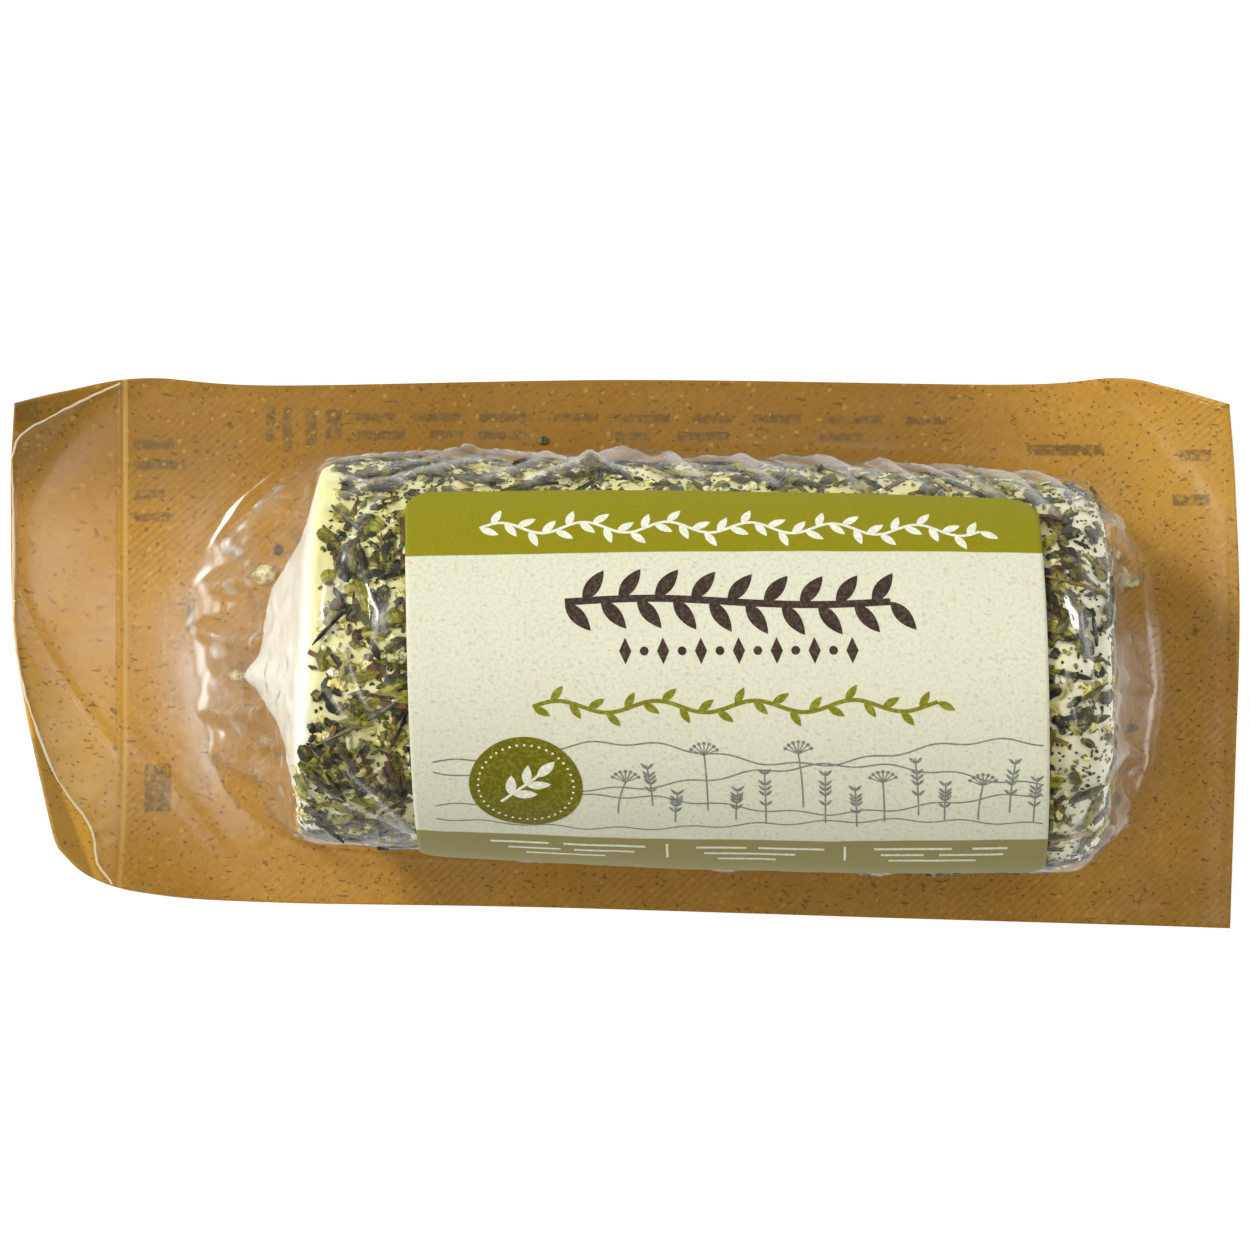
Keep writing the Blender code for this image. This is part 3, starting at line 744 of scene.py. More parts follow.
def makeFilmShape():
    x = filmStations()
    inset = film["inset"]
    sealX = backing["sealX"]
    backEdge = edgeAt(backing["topEdge"], x) - inset
    frontEdge = edgeAt(backing["bottomEdge"], x) + inset
    peelBack = edgeAt(film["peelEdgeBack"], x)
    peelFront = edgeAt(film["peelEdgeFront"], x)
    backEdge = np.where(x < sealX - 0.3, peelBack, backEdge)
    frontEdge = np.where(x < sealX - 0.8, peelFront, frontEdge)
    side = np.linspace(1, -1, film["pocketRows"])[None, :]
    across, height = pocketPoint(x[:, None], side)
    pocketY = logY(x)[:, None] + across
    share = np.linspace(0, 1, film["borderRows"], endpoint=False)[None, :] ** 0.8
    backRows = backEdge[:, None] + (pocketY[:, :1] - backEdge[:, None]) * share
    frontRows = frontEdge[:, None] + (pocketY[:, -1:] - frontEdge[:, None]) * share[:, ::-1]
    y = np.concatenate([backRows, pocketY, frontRows], 1)
    even = np.linspace(0, 1, y.shape[1])[None, :]
    even = backEdge[:, None] + (frontEdge - backEdge)[:, None] * even
    outside = np.maximum(smoothStep(-x, 48.4, 55), smoothStep(x, 57.3, 62))[:, None]
    y = y * (1 - outside) + even * outside
    flat = np.zeros_like(backRows)
    z = np.concatenate([flat, height, flat], 1)
    lean = log["leftLean"] * (smoothStep(-x, 10, 33) * (1 - smoothStep(-x, 40, 50)))[:, None]
    x2 = x[:, None] + lean * (y - logY(x)[:, None])
    line = alongCurve(backing["rightEdge"], np.linspace(0, 1, 400))
    edgeX = np.interp(y, line[:, 1], line[:, 0]) - inset
    x2 = x2 + (edgeX - 65.9) * smoothStep(x, 58, 65.9)[:, None]
    # Soft fillets where the pocket leaves the border
    foot = np.exp(-((z - 0.4) / 1.6) ** 2)
    z = softened(z, 3, foot)
    z = softened(z, 2, np.full_like(z, 0.35))
    tentFoot = np.maximum(smoothStep(-x, 36, 40), smoothStep(x, 52, 54))[:, None]
    z = softened(z, 26, 0.9 * tentFoot * np.exp(-((z - 1.5) / 3.0) ** 2))
    # Folds over the log
    angle = np.degrees(np.arctan2(y - logY(x2), z + log["base"] - log["centreZ"]))
    arc = angle * math.pi / 180 * log["radius"]
    bump = np.zeros_like(z)
    for points, width, lift in folds:
        line = [(px, math.radians(pa) * log["radius"]) for px, pa in points]
        bump = bump + lift * nearLine(x2, arc, line, width)
    covered = underLabel(x2, np.radians(angle), 0.8)
    bump = bump + film["fineFold"] * Waves(11, 3.2).at(x2 * 0.8 + arc * 0.4, arc * 0.7, z * 0.4)
    onLog = smoothStep(z, 2, 6) * smoothStep(x2, -35.5, -33) * smoothStep(-x2, -50.5, -48)
    bump = bump * onLog * (1 - covered)
    # Folds in the tents, which stay as high as the tent lets them
    tentBump = np.zeros_like(z)
    for points, width, lift in tentFolds:
        tentBump = tentBump + lift * nearLine(x2, y, points, width)
    beyond = np.maximum(smoothStep(-x2, 33, 36), smoothStep(x2, 49, 51))
    tentBump = tentBump * beyond * np.minimum(1, z / 2.5 + 0.1)
    # Painted glints: the film is made denser, so paler and more reflective, along fold ridges on
    # the log, in the tent folds and at the dimples
    paintedGlint = 0.16 * np.clip(bump / 0.45 - 0.25, 0, 1) * (1 - smoothStep(np.abs(angle), 76, 86))
    paintedGlint = paintedGlint + 0.10 * np.clip(tentBump - 0.3, 0, 1)
    for dimpleX, dimpleY, radius, lift in dimples:
        away = np.hypot(x2 - dimpleX, y - dimpleY) / radius
        tentBump = tentBump + 0.6 * lift * np.exp(-away ** 2)
        paintedGlint = paintedGlint + 1.6 * lift * smoothStep(-away, -1.1, -0.4)
    cling = 0.30 * Waves(21, 3.0).at(x2, y, z) * beyond * np.minimum(1, z / 4)
    # The outward way of the sheet
    along = np.gradient(np.stack([x2, y, z], -1), axis=0)
    over = np.gradient(np.stack([x2, y, z], -1), axis=1)
    normal = np.cross(over, along)
    normal /= np.linalg.norm(normal, axis=-1, keepdims=True)
    border = smoothStep(-z, -0.6, -0.05)
    # The free end stands level off the sheet, except where a corner curls up above it
    onSheet = sheetAbove(x2, y, film["above"])
    level = film["above"] + film["peelLift"]
    gap = onSheet + 0.15 - level
    loose = 0.5 * (onSheet + 0.15 + level + np.sqrt(gap ** 2 + 0.09)) - onSheet
    loose = loose * smoothStep(sealX - x2, 0.1, 0.7)
    ripple = 0.02 * (1 + Waves(31, 40.0, spread=1.4).at(x2, y)) * border
    z = z + onSheet + loose + ripple
    shape = np.stack([x2, y, z], -1) + normal * (bump + tentBump + cling)[..., None]
    # Milky stretches: the free end, and round the tents; the painted glints are added to the milk
    cloud = 1 + 0.5 * Waves(34, 9.0).at(x2, y)
    milk = 0.010 + 0.015 * smoothStep(sealX - x2, -0.2, 0.2)
    for milkX, milkY, wideX, wideY, more in film["milky"]:
        milk = milk + more * np.exp(-((x2 - milkX) / wideX) ** 2 - ((y - milkY) / wideY) ** 2)
    return shape, border, milk * cloud + paintedGlint


def makeFilmMaterial():
    material, tree, shader = newMaterial("clearFilm", Metallic=0.8)
    where = addNode(tree, "ShaderNodeTexCoord").outputs["Object"]
    border = addNode(tree, "ShaderNodeAttribute", attribute_name="border").outputs["Fac"]
    part = addNode(tree, "ShaderNodeSeparateXYZ", {"Vector": where})
    sealX = backing["sealX"]
    beyondSeal = ranged(tree, part.outputs["X"], (sealX - 0.4) * mm, (sealX + 0.2) * mm)
    pressed = maths(tree, "MULTIPLY", border, beyondSeal)
    shader.inputs["Base Color"].default_value = (0.97, 0.96, 0.93, 1)
    # The milk attribute also holds the painted glints at folds and dimples
    hazeAndGlint = addNode(tree, "ShaderNodeAttribute", attribute_name="milk").outputs["Fac"]
    slack = maths(tree, "MULTIPLY", ranged(tree, hazeAndGlint, 0.015, 0.10, 0.0, 0.30),
                  ranged(tree, part.outputs["X"], (sealX - 0.3) * mm, (sealX + 2.1) * mm))
    tree.links.new(maths(tree, "MAXIMUM", slack,
                         ranged(tree, pressed, 0.0, 1.0, 0.11, 0.17, smooth=False)),
                   shader.inputs["Roughness"])
    facing = addNode(tree, "ShaderNodeLayerWeight", {"Blend": 0.5}).outputs["Facing"]
    rim = maths(tree, "MULTIPLY", maths(tree, "POWER", facing, 5.0), 0.40)
    tree.links.new(maths(tree, "ADD", hazeAndGlint, rim, clamp=True), shader.inputs["Alpha"])
    return material


clearFilm = makeFilmMaterial()
filmShape, filmBorder, filmMilkAndGlint = makeFilmShape()
filmPiece = newPiece("clearFilm", filmShape.reshape(-1, 3), gridFaces(*filmShape.shape[:2]),
                     clearFilm)
storeNumbers(filmPiece, "border", filmBorder.ravel())
storeNumbers(filmPiece, "milk", filmMilkAndGlint.ravel())
thicken(filmPiece, film["thickness"], 1)
place(filmPiece, "clear_film", "film_flange", "sealed_log")
print("clear film made", len(filmPiece.data.polygons))


def makeEdgeHighlight():
    # A pale strip along the cut edge of the peel end, as a painted highlight of the edge
    columns = int(np.searchsorted(filmStations(), film["rimEnd"]))
    back = filmShape[columns:0:-1, 0]
    front = filmShape[1:columns, -1]
    line = np.concatenate([back, filmShape[0], front])
    steps = np.concatenate(([0.0], np.cumsum(np.linalg.norm(np.diff(line, axis=0), axis=1))))
    even = np.linspace(0, steps[-1], film["rimStops"])
    line = np.stack([np.interp(even, steps, line[:, i]) for i in range(3)], -1)
    way = np.gradient(line[:, :2], axis=0)
    way /= np.linalg.norm(way, axis=1, keepdims=True)
    side = np.stack([-way[:, 1], way[:, 0], 0 * way[:, 0]], -1)
    half = film["rimWidth"] / 2 * (1 + 0.35 * Waves(32, 5.0).at(even, 0 * even, 0 * even))[:, None]
    line = line + side * 0.05 * Waves(33, 2.5).at(even, 0 * even, 0 * even)[:, None]
    line[:, 2] += film["thickness"] + 0.01
    return np.stack([line - side * half, line + side * half], 1)


# Pale half-clear paint for the painted edge highlight
edgeHighlightPaint, _, rimShader = newMaterial("filmRim", Roughness=0.4, Alpha=0.5)
rimShader.inputs["Base Color"].default_value = screenColour(250, 236, 205)
rimShape = makeEdgeHighlight()
rimPiece = newPiece("filmRim", rimShape.reshape(-1, 3), gridFaces(*rimShape.shape[:2]), edgeHighlightPaint)
thicken(rimPiece, 0.04, 1)
place(rimPiece, "clear_film", "film_flange")


# Cheese: a soft log whose left end has bulged out of its herb coat

cheese = {
    "gap": 0.75,
    "low": 1.1,
    "centreZ": 21.2,
    "leftInset": 0.5,
    "rightInset": 0.7,
    "leftRound": 1.3,
    "leftStops": 9,
    "rightStops": 10,
    "columns": 240,
    "turns": 220,
    "capRings": 34,
    "lumps": 0.22,
    "pits": 0.09,
    "crumb": 1.0,
    # How far the soft cheese has come out past the left end: y and distance
    "bulge": [(-21, 0.0), (-18.5, 1.0), (-15.6, 2.2), (-13.4, 2.8), (-10.2, 3.7), (-8.2, 4.4),
              (-6.6, 5.3), (-4.9, 6.1), (-3.4, 7.1), (-2.1, 6.9), (-0.9, 6.2), (1.2, 5.8),
              (3.0, 5.9), (6.7, 5.5), (8.2, 4.9), (9.7, 4.0), (11.5, 3.2), (14, 2.3),
              (16.3, 1.6), (19, 0.6), (21, 0.0)],
    "bulgeFoot": 7.5,
}


def makeCheeseShape():
    turn = np.linspace(0, 2 * math.pi, cheese["turns"], endpoint=False)[None, :]
    sine = np.sin(turn)
    cosine = np.cos(turn)
    # x and radius share of each ring along the side, with both ends rounded
    rounds = np.linspace(0, 1, cheese["rightStops"]) * math.pi / 2
    rightX = log["rightRound"] * (1 - np.cos(rounds))
    rightShare = 1 - 0.8 * log["rightRound"] * (1 - np.sin(rounds)) / log["radius"]
    first = log["left"] + cheese["leftInset"]
    last = log["right"] - cheese["rightInset"]
    side = np.linspace(first + 1.5, last - log["rightRound"] - 0.3, cheese["columns"])
    leftRing = 1 - np.linspace(0.02, 1, cheese["leftStops"])
    leftShare = 1 - cheese["leftRound"] * (1 - np.sqrt(1 - leftRing ** 2)) / log["radius"]
    x = np.concatenate([first + np.linspace(0, cheese["leftRound"], cheese["leftStops"]), side,
                        last - rightX[::-1]])
    share = np.concatenate([leftShare, np.ones(len(side)), rightShare[::-1]])
    radius = (logRadius(x) - cheese["gap"])[:, None] * share[:, None]
    up = log["top"] - cheese["gap"] - cheese["centreZ"]
    rise = np.where(cosine > 0, up, cheese["centreZ"] - cheese["low"] + 1.4)
    y = radius * sine
    z = cheese["centreZ"] + rise * share[:, None] * cosine
    z = np.where(z < cheese["low"], cheese["low"] + (z - cheese["low"]) * 0.06, z)
    x = x[:, None] + 0 * y
    leftCap = []
    rightCap = []
    for ring in np.linspace(1, 0, cheese["capRings"] + 1)[1:]:
        for cap, edge, way in ((leftCap, 0, -1), (rightCap, -1, 1)):
            ringY = y[edge] * ring
            ringZ = cheese["centreZ"] + (z[edge] - cheese["centreZ"]) * ring
            ringX = x[edge] + way * 0.9 * (1 - ring ** 3)
            cap.append(np.stack([ringX, ringY, ringZ], -1))
    shape = np.concatenate([np.array(leftCap)[::-1], np.stack([x, y, z], -1),
                            np.array(rightCap)])
    x, y, z = shape[..., 0], shape[..., 1], shape[..., 2]
    # The bulge is soft cheese pressed out into the tent of film, along the tent's curve
    table = np.array(cheese["bulge"])
    room = tents["leftSag"] * np.log(38.8 / np.maximum(z, cheese["bulgeFoot"])) - 0.8
    most = tents["leftSag"] * math.log(38.8 / cheese["bulgeFoot"]) - 0.8
    bulge = np.interp(y, table[:, 0], table[:, 1]) * np.clip(room / most, 0, 1)
    crumb = cheese["crumb"] * np.exp(-(((y + 3.4) / 1.4) ** 2 + ((z - 6.5) / 2.2) ** 2))
    # The cap moves out, less and less towards its rim
    capShare = np.zeros(len(shape))
    count = cheese["capRings"]
    capShare[:count] = 1 - (np.arange(count) / count) ** 7
    x = x - (bulge + crumb) * capShare[:, None]
    lean = log["leftLean"] * smoothStep(-x, 10, 33)
    x = x + lean * y
    y = y + logY(x)
    shape = np.stack([x, y, z], -1)
    centre = np.stack([np.clip(x, log["left"] + 8, log["right"] - 8), logY(x),
                       0 * z + cheese["centreZ"]], -1)
    out = shape - centre
    out /= np.linalg.norm(out, axis=-1, keepdims=True) + 1e-9
    lumps = cheese["lumps"] * Waves(41, 6.0).at(x, y, z)
    lumps = lumps + cheese["pits"] * Waves(42, 1.6).at(x, y, z) - 0.15
    creases = -0.35 * np.clip(Waves(43, 5.0, spread=1.4).at(x * 2, y, z) - 0.55, 0, 1)
    return shape + out * (lumps + creases * smoothStep(-x, 32, 35))[..., None]


def closedTube(rings, turns):
    # Side faces of a closed tube, joining each ring to the next
    faces = []
    for i in range(rings - 1):
        for j in range(turns):
            k = (j + 1) % turns
            faces.append((i * turns + j, i * turns + k, (i + 1) * turns + k, (i + 1) * turns + j))
    return faces


def makeCheeseMaterial():
    material, tree, shader = newMaterial("freshCheese", Roughness=0.42, Subsurface_Weight=0.15,
                                         Subsurface_Scale=0.0015)
    shader.inputs["Subsurface Radius"].default_value = (1.0, 0.9, 0.7)
    where = addNode(tree, "ShaderNodeTexCoord").outputs["Object"]
    soft = useGroup(tree, mottle, {"Vector": where, "Size": 0.004, "Contrast": 1.2})["Value"]
    part = addNode(tree, "ShaderNodeSeparateXYZ", {"Vector": where})
    coat = ranged(tree, part.outputs["X"], -32.9 * mm, -31.3 * mm)
    bare = blended(tree, soft, screenColour(249, 251, 230), screenColour(254, 255, 242))
    under = blended(tree, soft, screenColour(236, 226, 138), screenColour(252, 247, 192))
    rightEnd = ranged(tree, part.outputs["X"], 42.5 * mm, 46.5 * mm, 0.0, 0.75)
    under = blended(tree, rightEnd, under, screenColour(252, 248, 224))
    tree.links.new(blended(tree, coat, bare, under), shader.inputs["Base Color"])
    grain = addNode(tree, "ShaderNodeTexNoise", {"Vector": where, "Scale": 900.0, "Detail": 4.0})
    bump = addNode(tree, "ShaderNodeBump", {"Height": grain.outputs["Fac"], "Distance": 0.0001,
                                            "Strength": 0.35})
    tree.links.new(bump.outputs[0], shader.inputs["Normal"])
    return material


freshCheese = makeCheeseMaterial()
cheeseShape = makeCheeseShape()
rings, turns = cheeseShape.shape[:2]
cheeseLog = newPiece("cheeseLog", cheeseShape.reshape(-1, 3), closedTube(rings, turns),
                     freshCheese)
cheeseBmesh = bmesh.new()
cheeseBmesh.from_mesh(cheeseLog.data)
bmesh.ops.remove_doubles(cheeseBmesh, verts=cheeseBmesh.verts, dist=1e-6)
bmesh.ops.recalc_face_normals(cheeseBmesh, faces=cheeseBmesh.faces)
cheeseBmesh.to_mesh(cheeseLog.data)
cheeseBmesh.free()
cheeseLog.data.shade_smooth()
print("cheese made")


# Herb coat: leaf flakes, stem pieces and fine crumbs, scattered over the cheese

def coverCheese():
    points = np.empty(len(cheeseLog.data.vertices) * 3)
    cheeseLog.data.vertices.foreach_get("co", points)
    x, y, z = (points.reshape(-1, 3) / mm).T
    angle = np.arctan2(y - logY(x), z - log["centreZ"])
    edge = 0.7 * Waves(51, 4.0).at(x * 0, y, z)
    edge = edge + 1.3 * smoothStep(-y, 5, 11)
    cover = smoothStep(x + edge - log["leftLean"] * y, -31.7, -30.7)
    cover *= 1 - underLabel(x, angle, 0.1) * smoothStep(underLabel(x, angle, 2.5), 0.3, 0.6)
    cover *= 0.25 + 0.75 * smoothStep(z, 1.5, 5)
    cover *= 1 - 0.75 * smoothStep(x, log["right"] - 1.6, log["right"] - 0.9)
    cover *= 0.72 + 0.28 * np.clip(1 + Waves(52, 4.5).at(x, y, z), 0, 2)
    storeNumbers(cheeseLog, "coverFine", cover)
    # The right end and the back are barer, except for the crumbs
    cover *= 1 - 0.64 * smoothStep(x, 42.5, 45.5)
    cover *= 1 - 0.44 * smoothStep(angle, 0.75, 1.0)
    storeNumbers(cheeseLog, "cover", cover)
    # Long pieces stay clear of the coat's left edge
    storeNumbers(cheeseLog, "coverLong",
                 cover * smoothStep(x + edge - log["leftLean"] * y, -30.3, -29.3))


def flakeShape(sections, thick, fold, bend):
    # A thin leaf piece, folded a little along its middle; sections give x and both sides
    verts = []
    for drop in (0, thick):
        for x, back, front in sections:
            arch = bend * (1 - (2 * x) ** 2)
            verts += [(x, back, arch - drop), (x, (back + front) / 2, arch + fold - drop),
                      (x, front, arch - drop)]
    faces = []
    count = len(sections)
    low = 3 * count
    for i in range(count - 1):
        for j in range(2):
            a = 3 * i + j
            faces.append((a, a + 1, a + 4, a + 3))
            faces.append((low + a, low + a + 3, low + a + 4, low + a + 1))
        for a, b in ((3 * i + 3, 3 * i), (3 * i + 2, 3 * i + 5)):
            faces.append((a, b, low + b, low + a))
    for a, b in ((0, 1), (1, 2), (low - 1, low - 2), (low - 2, low - 3)):
        faces.append((a, b, low + b, low + a))
    return verts, [face[::-1] for face in faces]


def stemShape(length, thick, bend):
    verts = []
    faces = []
    stops = 4
    for i in range(stops):
        x = length * (i / (stops - 1) - 0.5)
        z = bend * (1 - (2 * x / length) ** 2)
        half = thick / 2 * (1 - 0.25 * i / stops)
        for y, up in ((-1, -1), (1, -1), (1, 1), (-1, 1)):
            verts.append((x, y * half, z + up * half))
    for i in range(stops - 1):
        for j in range(4):
            k = (j + 1) % 4
            faces.append((4 * i + j, 4 * i + k, 4 * i + 4 + k, 4 * i + 4 + j))
    faces.append((3, 2, 1, 0))
    last = 4 * (stops - 1)
    faces.append((last, last + 1, last + 2, last + 3))
    return verts, faces


def crumbShape(size, rng):
    lump = bmesh.new()
    bmesh.ops.create_icosphere(lump, subdivisions=1, radius=size / 2)
    for vert in lump.verts:
        vert.co *= rng.uniform(0.7, 1.25)
        vert.co.z *= 0.6
    lump.verts.ensure_lookup_table()
    verts = [tuple(vert.co) for vert in lump.verts]
    faces = [tuple(vert.index for vert in face.verts) for face in lump.faces]
    lump.free()
    return verts, faces


def makeScatterTree():
    tree = bpy.data.node_groups.new("scatter", "GeometryNodeTree")
    sockets = {}
    for name, kind in (("Geometry", "NodeSocketGeometry"), ("Shape", "NodeSocketObject"),
                       ("Per Area", "NodeSocketFloat"), ("Least", "NodeSocketVector"),
                       ("Most", "NodeSocketVector"), ("Tilt", "NodeSocketFloat"),
                       ("Low", "NodeSocketFloat"), ("High", "NodeSocketFloat"),
                       ("Cover", "NodeSocketString"),
                       ("Seed", "NodeSocketInt"), ("Material", "NodeSocketMaterial")):
        sockets[name] = tree.interface.new_socket(name=name, in_out="INPUT", socket_type=kind)
    tree.interface.new_socket(name="Geometry", in_out="OUTPUT",
                              socket_type="NodeSocketGeometry")
    start = tree.nodes.new("NodeGroupInput").outputs
    end = tree.nodes.new("NodeGroupOutput").inputs
    cover = addNode(tree, "GeometryNodeInputNamedAttribute", {"Name": start["Cover"]},
                    data_type="FLOAT").outputs["Attribute"]
    density = maths(tree, "MULTIPLY", cover, start["Per Area"])
    points = addNode(tree, "GeometryNodeDistributePointsOnFaces",
                     {"Mesh": start["Geometry"], "Density": density, "Seed": start["Seed"]},
                     distribute_method="RANDOM")
    spin = addNode(tree, "FunctionNodeRandomValue", data_type="FLOAT_VECTOR")
    lowTurn = addNode(tree, "ShaderNodeCombineXYZ",
                      {"X": maths(tree, "MULTIPLY", start["Tilt"], -1.0),
                       "Y": maths(tree, "MULTIPLY", start["Tilt"], -1.0), "Z": -math.pi})
    highTurn = addNode(tree, "ShaderNodeCombineXYZ", {"X": start["Tilt"], "Y": start["Tilt"],
                                                      "Z": math.pi})
    tree.links.new(lowTurn.outputs[0], spin.inputs[0])
    tree.links.new(highTurn.outputs[0], spin.inputs[1])
    tree.links.new(start["Seed"], spin.inputs["Seed"])
    asTurn = addNode(tree, "FunctionNodeEulerToRotation", {0: spin.outputs[0]})
    turned = addNode(tree, "FunctionNodeRotateRotation", {0: points.outputs["Rotation"],
                                                          1: asTurn.outputs[0]},
                     rotation_space="LOCAL")
    size = addNode(tree, "FunctionNodeRandomValue", data_type="FLOAT_VECTOR")
    tree.links.new(start["Least"], size.inputs[0])
    tree.links.new(start["Most"], size.inputs[1])
    tree.links.new(maths(tree, "ADD", start["Seed"], 7.0), size.inputs["Seed"])
    shape = addNode(tree, "GeometryNodeObjectInfo", {"Object": start["Shape"],
                                                     "As Instance": True})
    copies = addNode(tree, "GeometryNodeInstanceOnPoints",
                     {"Points": points.outputs["Points"],
                      "Instance": shape.outputs["Geometry"],
                      "Rotation": turned.outputs[0], "Scale": size.outputs[0]})
    tint = addNode(tree, "FunctionNodeRandomValue", data_type="FLOAT")
    tree.links.new(maths(tree, "ADD", start["Seed"], 13.0), tint.inputs["Seed"])
    named = addNode(tree, "GeometryNodeStoreNamedAttribute",
                    {"Geometry": copies.outputs[0], "Name": "tint", "Value": tint.outputs[1]},
                    data_type="FLOAT", domain="INSTANCE")
    raised = addNode(tree, "FunctionNodeRandomValue", data_type="FLOAT")
    tree.links.new(start["Low"], raised.inputs[2])
    tree.links.new(start["High"], raised.inputs[3])
    tree.links.new(maths(tree, "ADD", start["Seed"], 19.0), raised.inputs["Seed"])
    up = addNode(tree, "ShaderNodeCombineXYZ", {"Z": raised.outputs[1]})
    moved = addNode(tree, "GeometryNodeTranslateInstances",
                    {"Instances": named.outputs[0], "Translation": up.outputs[0]})
    real = addNode(tree, "GeometryNodeRealizeInstances", {"Geometry": moved.outputs[0]})
    dressed = addNode(tree, "GeometryNodeSetMaterial", {"Geometry": real.outputs[0],
                                                        "Material": start["Material"]})
    tree.links.new(dressed.outputs[0], end["Geometry"])
    return tree, {name: socket.identifier for name, socket in sockets.items()}


def grown(name, host, tree, sockets, values):
    # Runs a node tree on a copy of the host and keeps the result as a plain mesh
    worker = bpy.data.objects.new(name, host.data)
    bpy.context.scene.collection.objects.link(worker)
    modifier = worker.modifiers.new("nodes", "NODES")
    modifier.node_group = tree
    for label, value in values.items():
        modifier[sockets[label]] = value
    graph = bpy.context.evaluated_depsgraph_get()
    mesh = bpy.data.meshes.new_from_object(worker.evaluated_get(graph))
    bpy.data.objects.remove(worker)
    mesh.name = name
    piece = bpy.data.objects.new(name, mesh)
    bpy.context.scene.collection.objects.link(piece)
    return piece


def makeHerbMaterial(name, colours, roughness):
    material, tree, shader = newMaterial(name, Roughness=roughness)
    where = addNode(tree, "ShaderNodeTexCoord").outputs["Object"]
    tint = addNode(tree, "ShaderNodeAttribute", attribute_name="tint").outputs["Fac"]
    ramp = addNode(tree, "ShaderNodeValToRGB", {"Fac": tint})
    ramp.color_ramp.interpolation = "CONSTANT"
    stops = ramp.color_ramp.elements
    while len(stops) < len(colours):
        stops.new(0.5)
    for i, colour in enumerate(colours):
        stops[i].position = i / len(colours)
        stops[i].color = screenColour(*colour)
    # Veins run along each piece, whose own coordinates are kept in "grain"
    grain = addNode(tree, "ShaderNodeAttribute", attribute_name="grain").outputs["Vector"]
    local = addNode(tree, "ShaderNodeSeparateXYZ", {"Vector": grain})
    along = addNode(tree, "ShaderNodeCombineXYZ",
                    {"X": maths(tree, "MULTIPLY", local.outputs["X"], 2.0),
                     "Y": maths(tree, "MULTIPLY", local.outputs["Y"], 8.0),
                     "Z": maths(tree, "MULTIPLY", tint, 60.0)})
    streaks = addNode(tree, "ShaderNodeTexNoise", {"Vector": along.outputs[0], "Scale": 1.3,
                                                   "Detail": 3.0}).outputs["Fac"]
    spots = useGroup(tree, mottle, {"Vector": where, "Size": 0.0006, "Contrast": 2.4})["Value"]
    veins = maths(tree, "MULTIPLY_ADD", spots, 0.45, maths(tree, "MULTIPLY", streaks, 0.6))
    patchy = useGroup(tree, mottle, {"Vector": where, "Size": 0.0011, "Contrast": 2.6})["Value"]
    paler = blended(tree, ranged(tree, patchy, 0.5, 0.85, 0.0, 0.55), ramp.outputs["Color"],
                    screenColour(186, 180, 62))
    darker = blended(tree, ranged(tree, veins, 0.45, 0.68, 0.0, 0.85), paler,
                     (0.22, 0.20, 0.12, 1), "MULTIPLY")
    tree.links.new(darker, shader.inputs["Base Color"])
    return material


coverCheese()
scatterTree, scatterSockets = makeScatterTree()
leafGreen = makeHerbMaterial("driedLeaf", [(36, 33, 12), (116, 112, 20), (62, 58, 16),
                                           (156, 150, 34), (90, 86, 20), (48, 44, 16),
                                           (134, 130, 26), (104, 72, 40), (78, 76, 26),
                                           (178, 168, 66)], 0.5)
# In darkLeaf the grey stop (88, 88, 74) is a painted film reflection on some dark flakes
darkLeaf = makeHerbMaterial("darkLeaf", [(40, 38, 16), (88, 88, 74), (52, 48, 18), (96, 92, 32),
                                         (34, 32, 18), (84, 56, 36)], 0.45)
stemBrown = makeHerbMaterial("driedStem", [(122, 84, 46), (176, 142, 90), (150, 130, 60),
                                           (98, 64, 34)], 0.5)
herbDust = makeHerbMaterial("herbCrumb", [(58, 56, 18), (94, 94, 28), (128, 110, 46),
                                          (46, 44, 16)], 0.6)
paleCurd = makeHerbMaterial("paleCurd", [(254, 246, 176), (255, 250, 208), (248, 236, 140)], 0.4)


def scatterOn(host, kinds):
    pieces = []
    for kind in kinds:
        if kind["form"] in leafSections:
            verts, faces = flakeShape(leafSections[kind["form"]], 0.13, 0.14, 0.12)
        elif kind["form"] == "stem":
            verts, faces = stemShape(1.0, 1.0, 0.12)
        else:
            verts, faces = crumbShape(1.0, random.Random(kind["seed"]))
        shape = newPiece(kind["name"] + "Shape", verts, faces, kind["material"], smooth=False)
        storeNumbers(shape, "grain", verts)
        values = {"Shape": shape, "Per Area": kind["perArea"] / mm ** 2,
                  "Least": Vector(kind["least"]), "Most": Vector(kind["most"]),
                  "Tilt": kind["tilt"], "Low": kind["low"] * mm, "High": kind["high"] * mm,
                  "Cover": kind.get("cover", "cover"),
                  "Seed": kind["seed"], "Material": kind["material"]}
        piece = grown(kind["name"], host, scatterTree, scatterSockets, values)
        bpy.data.objects.remove(shape)
        pieces.append(piece)
        print(kind["name"], len(piece.data.polygons), "faces")
    return pieces


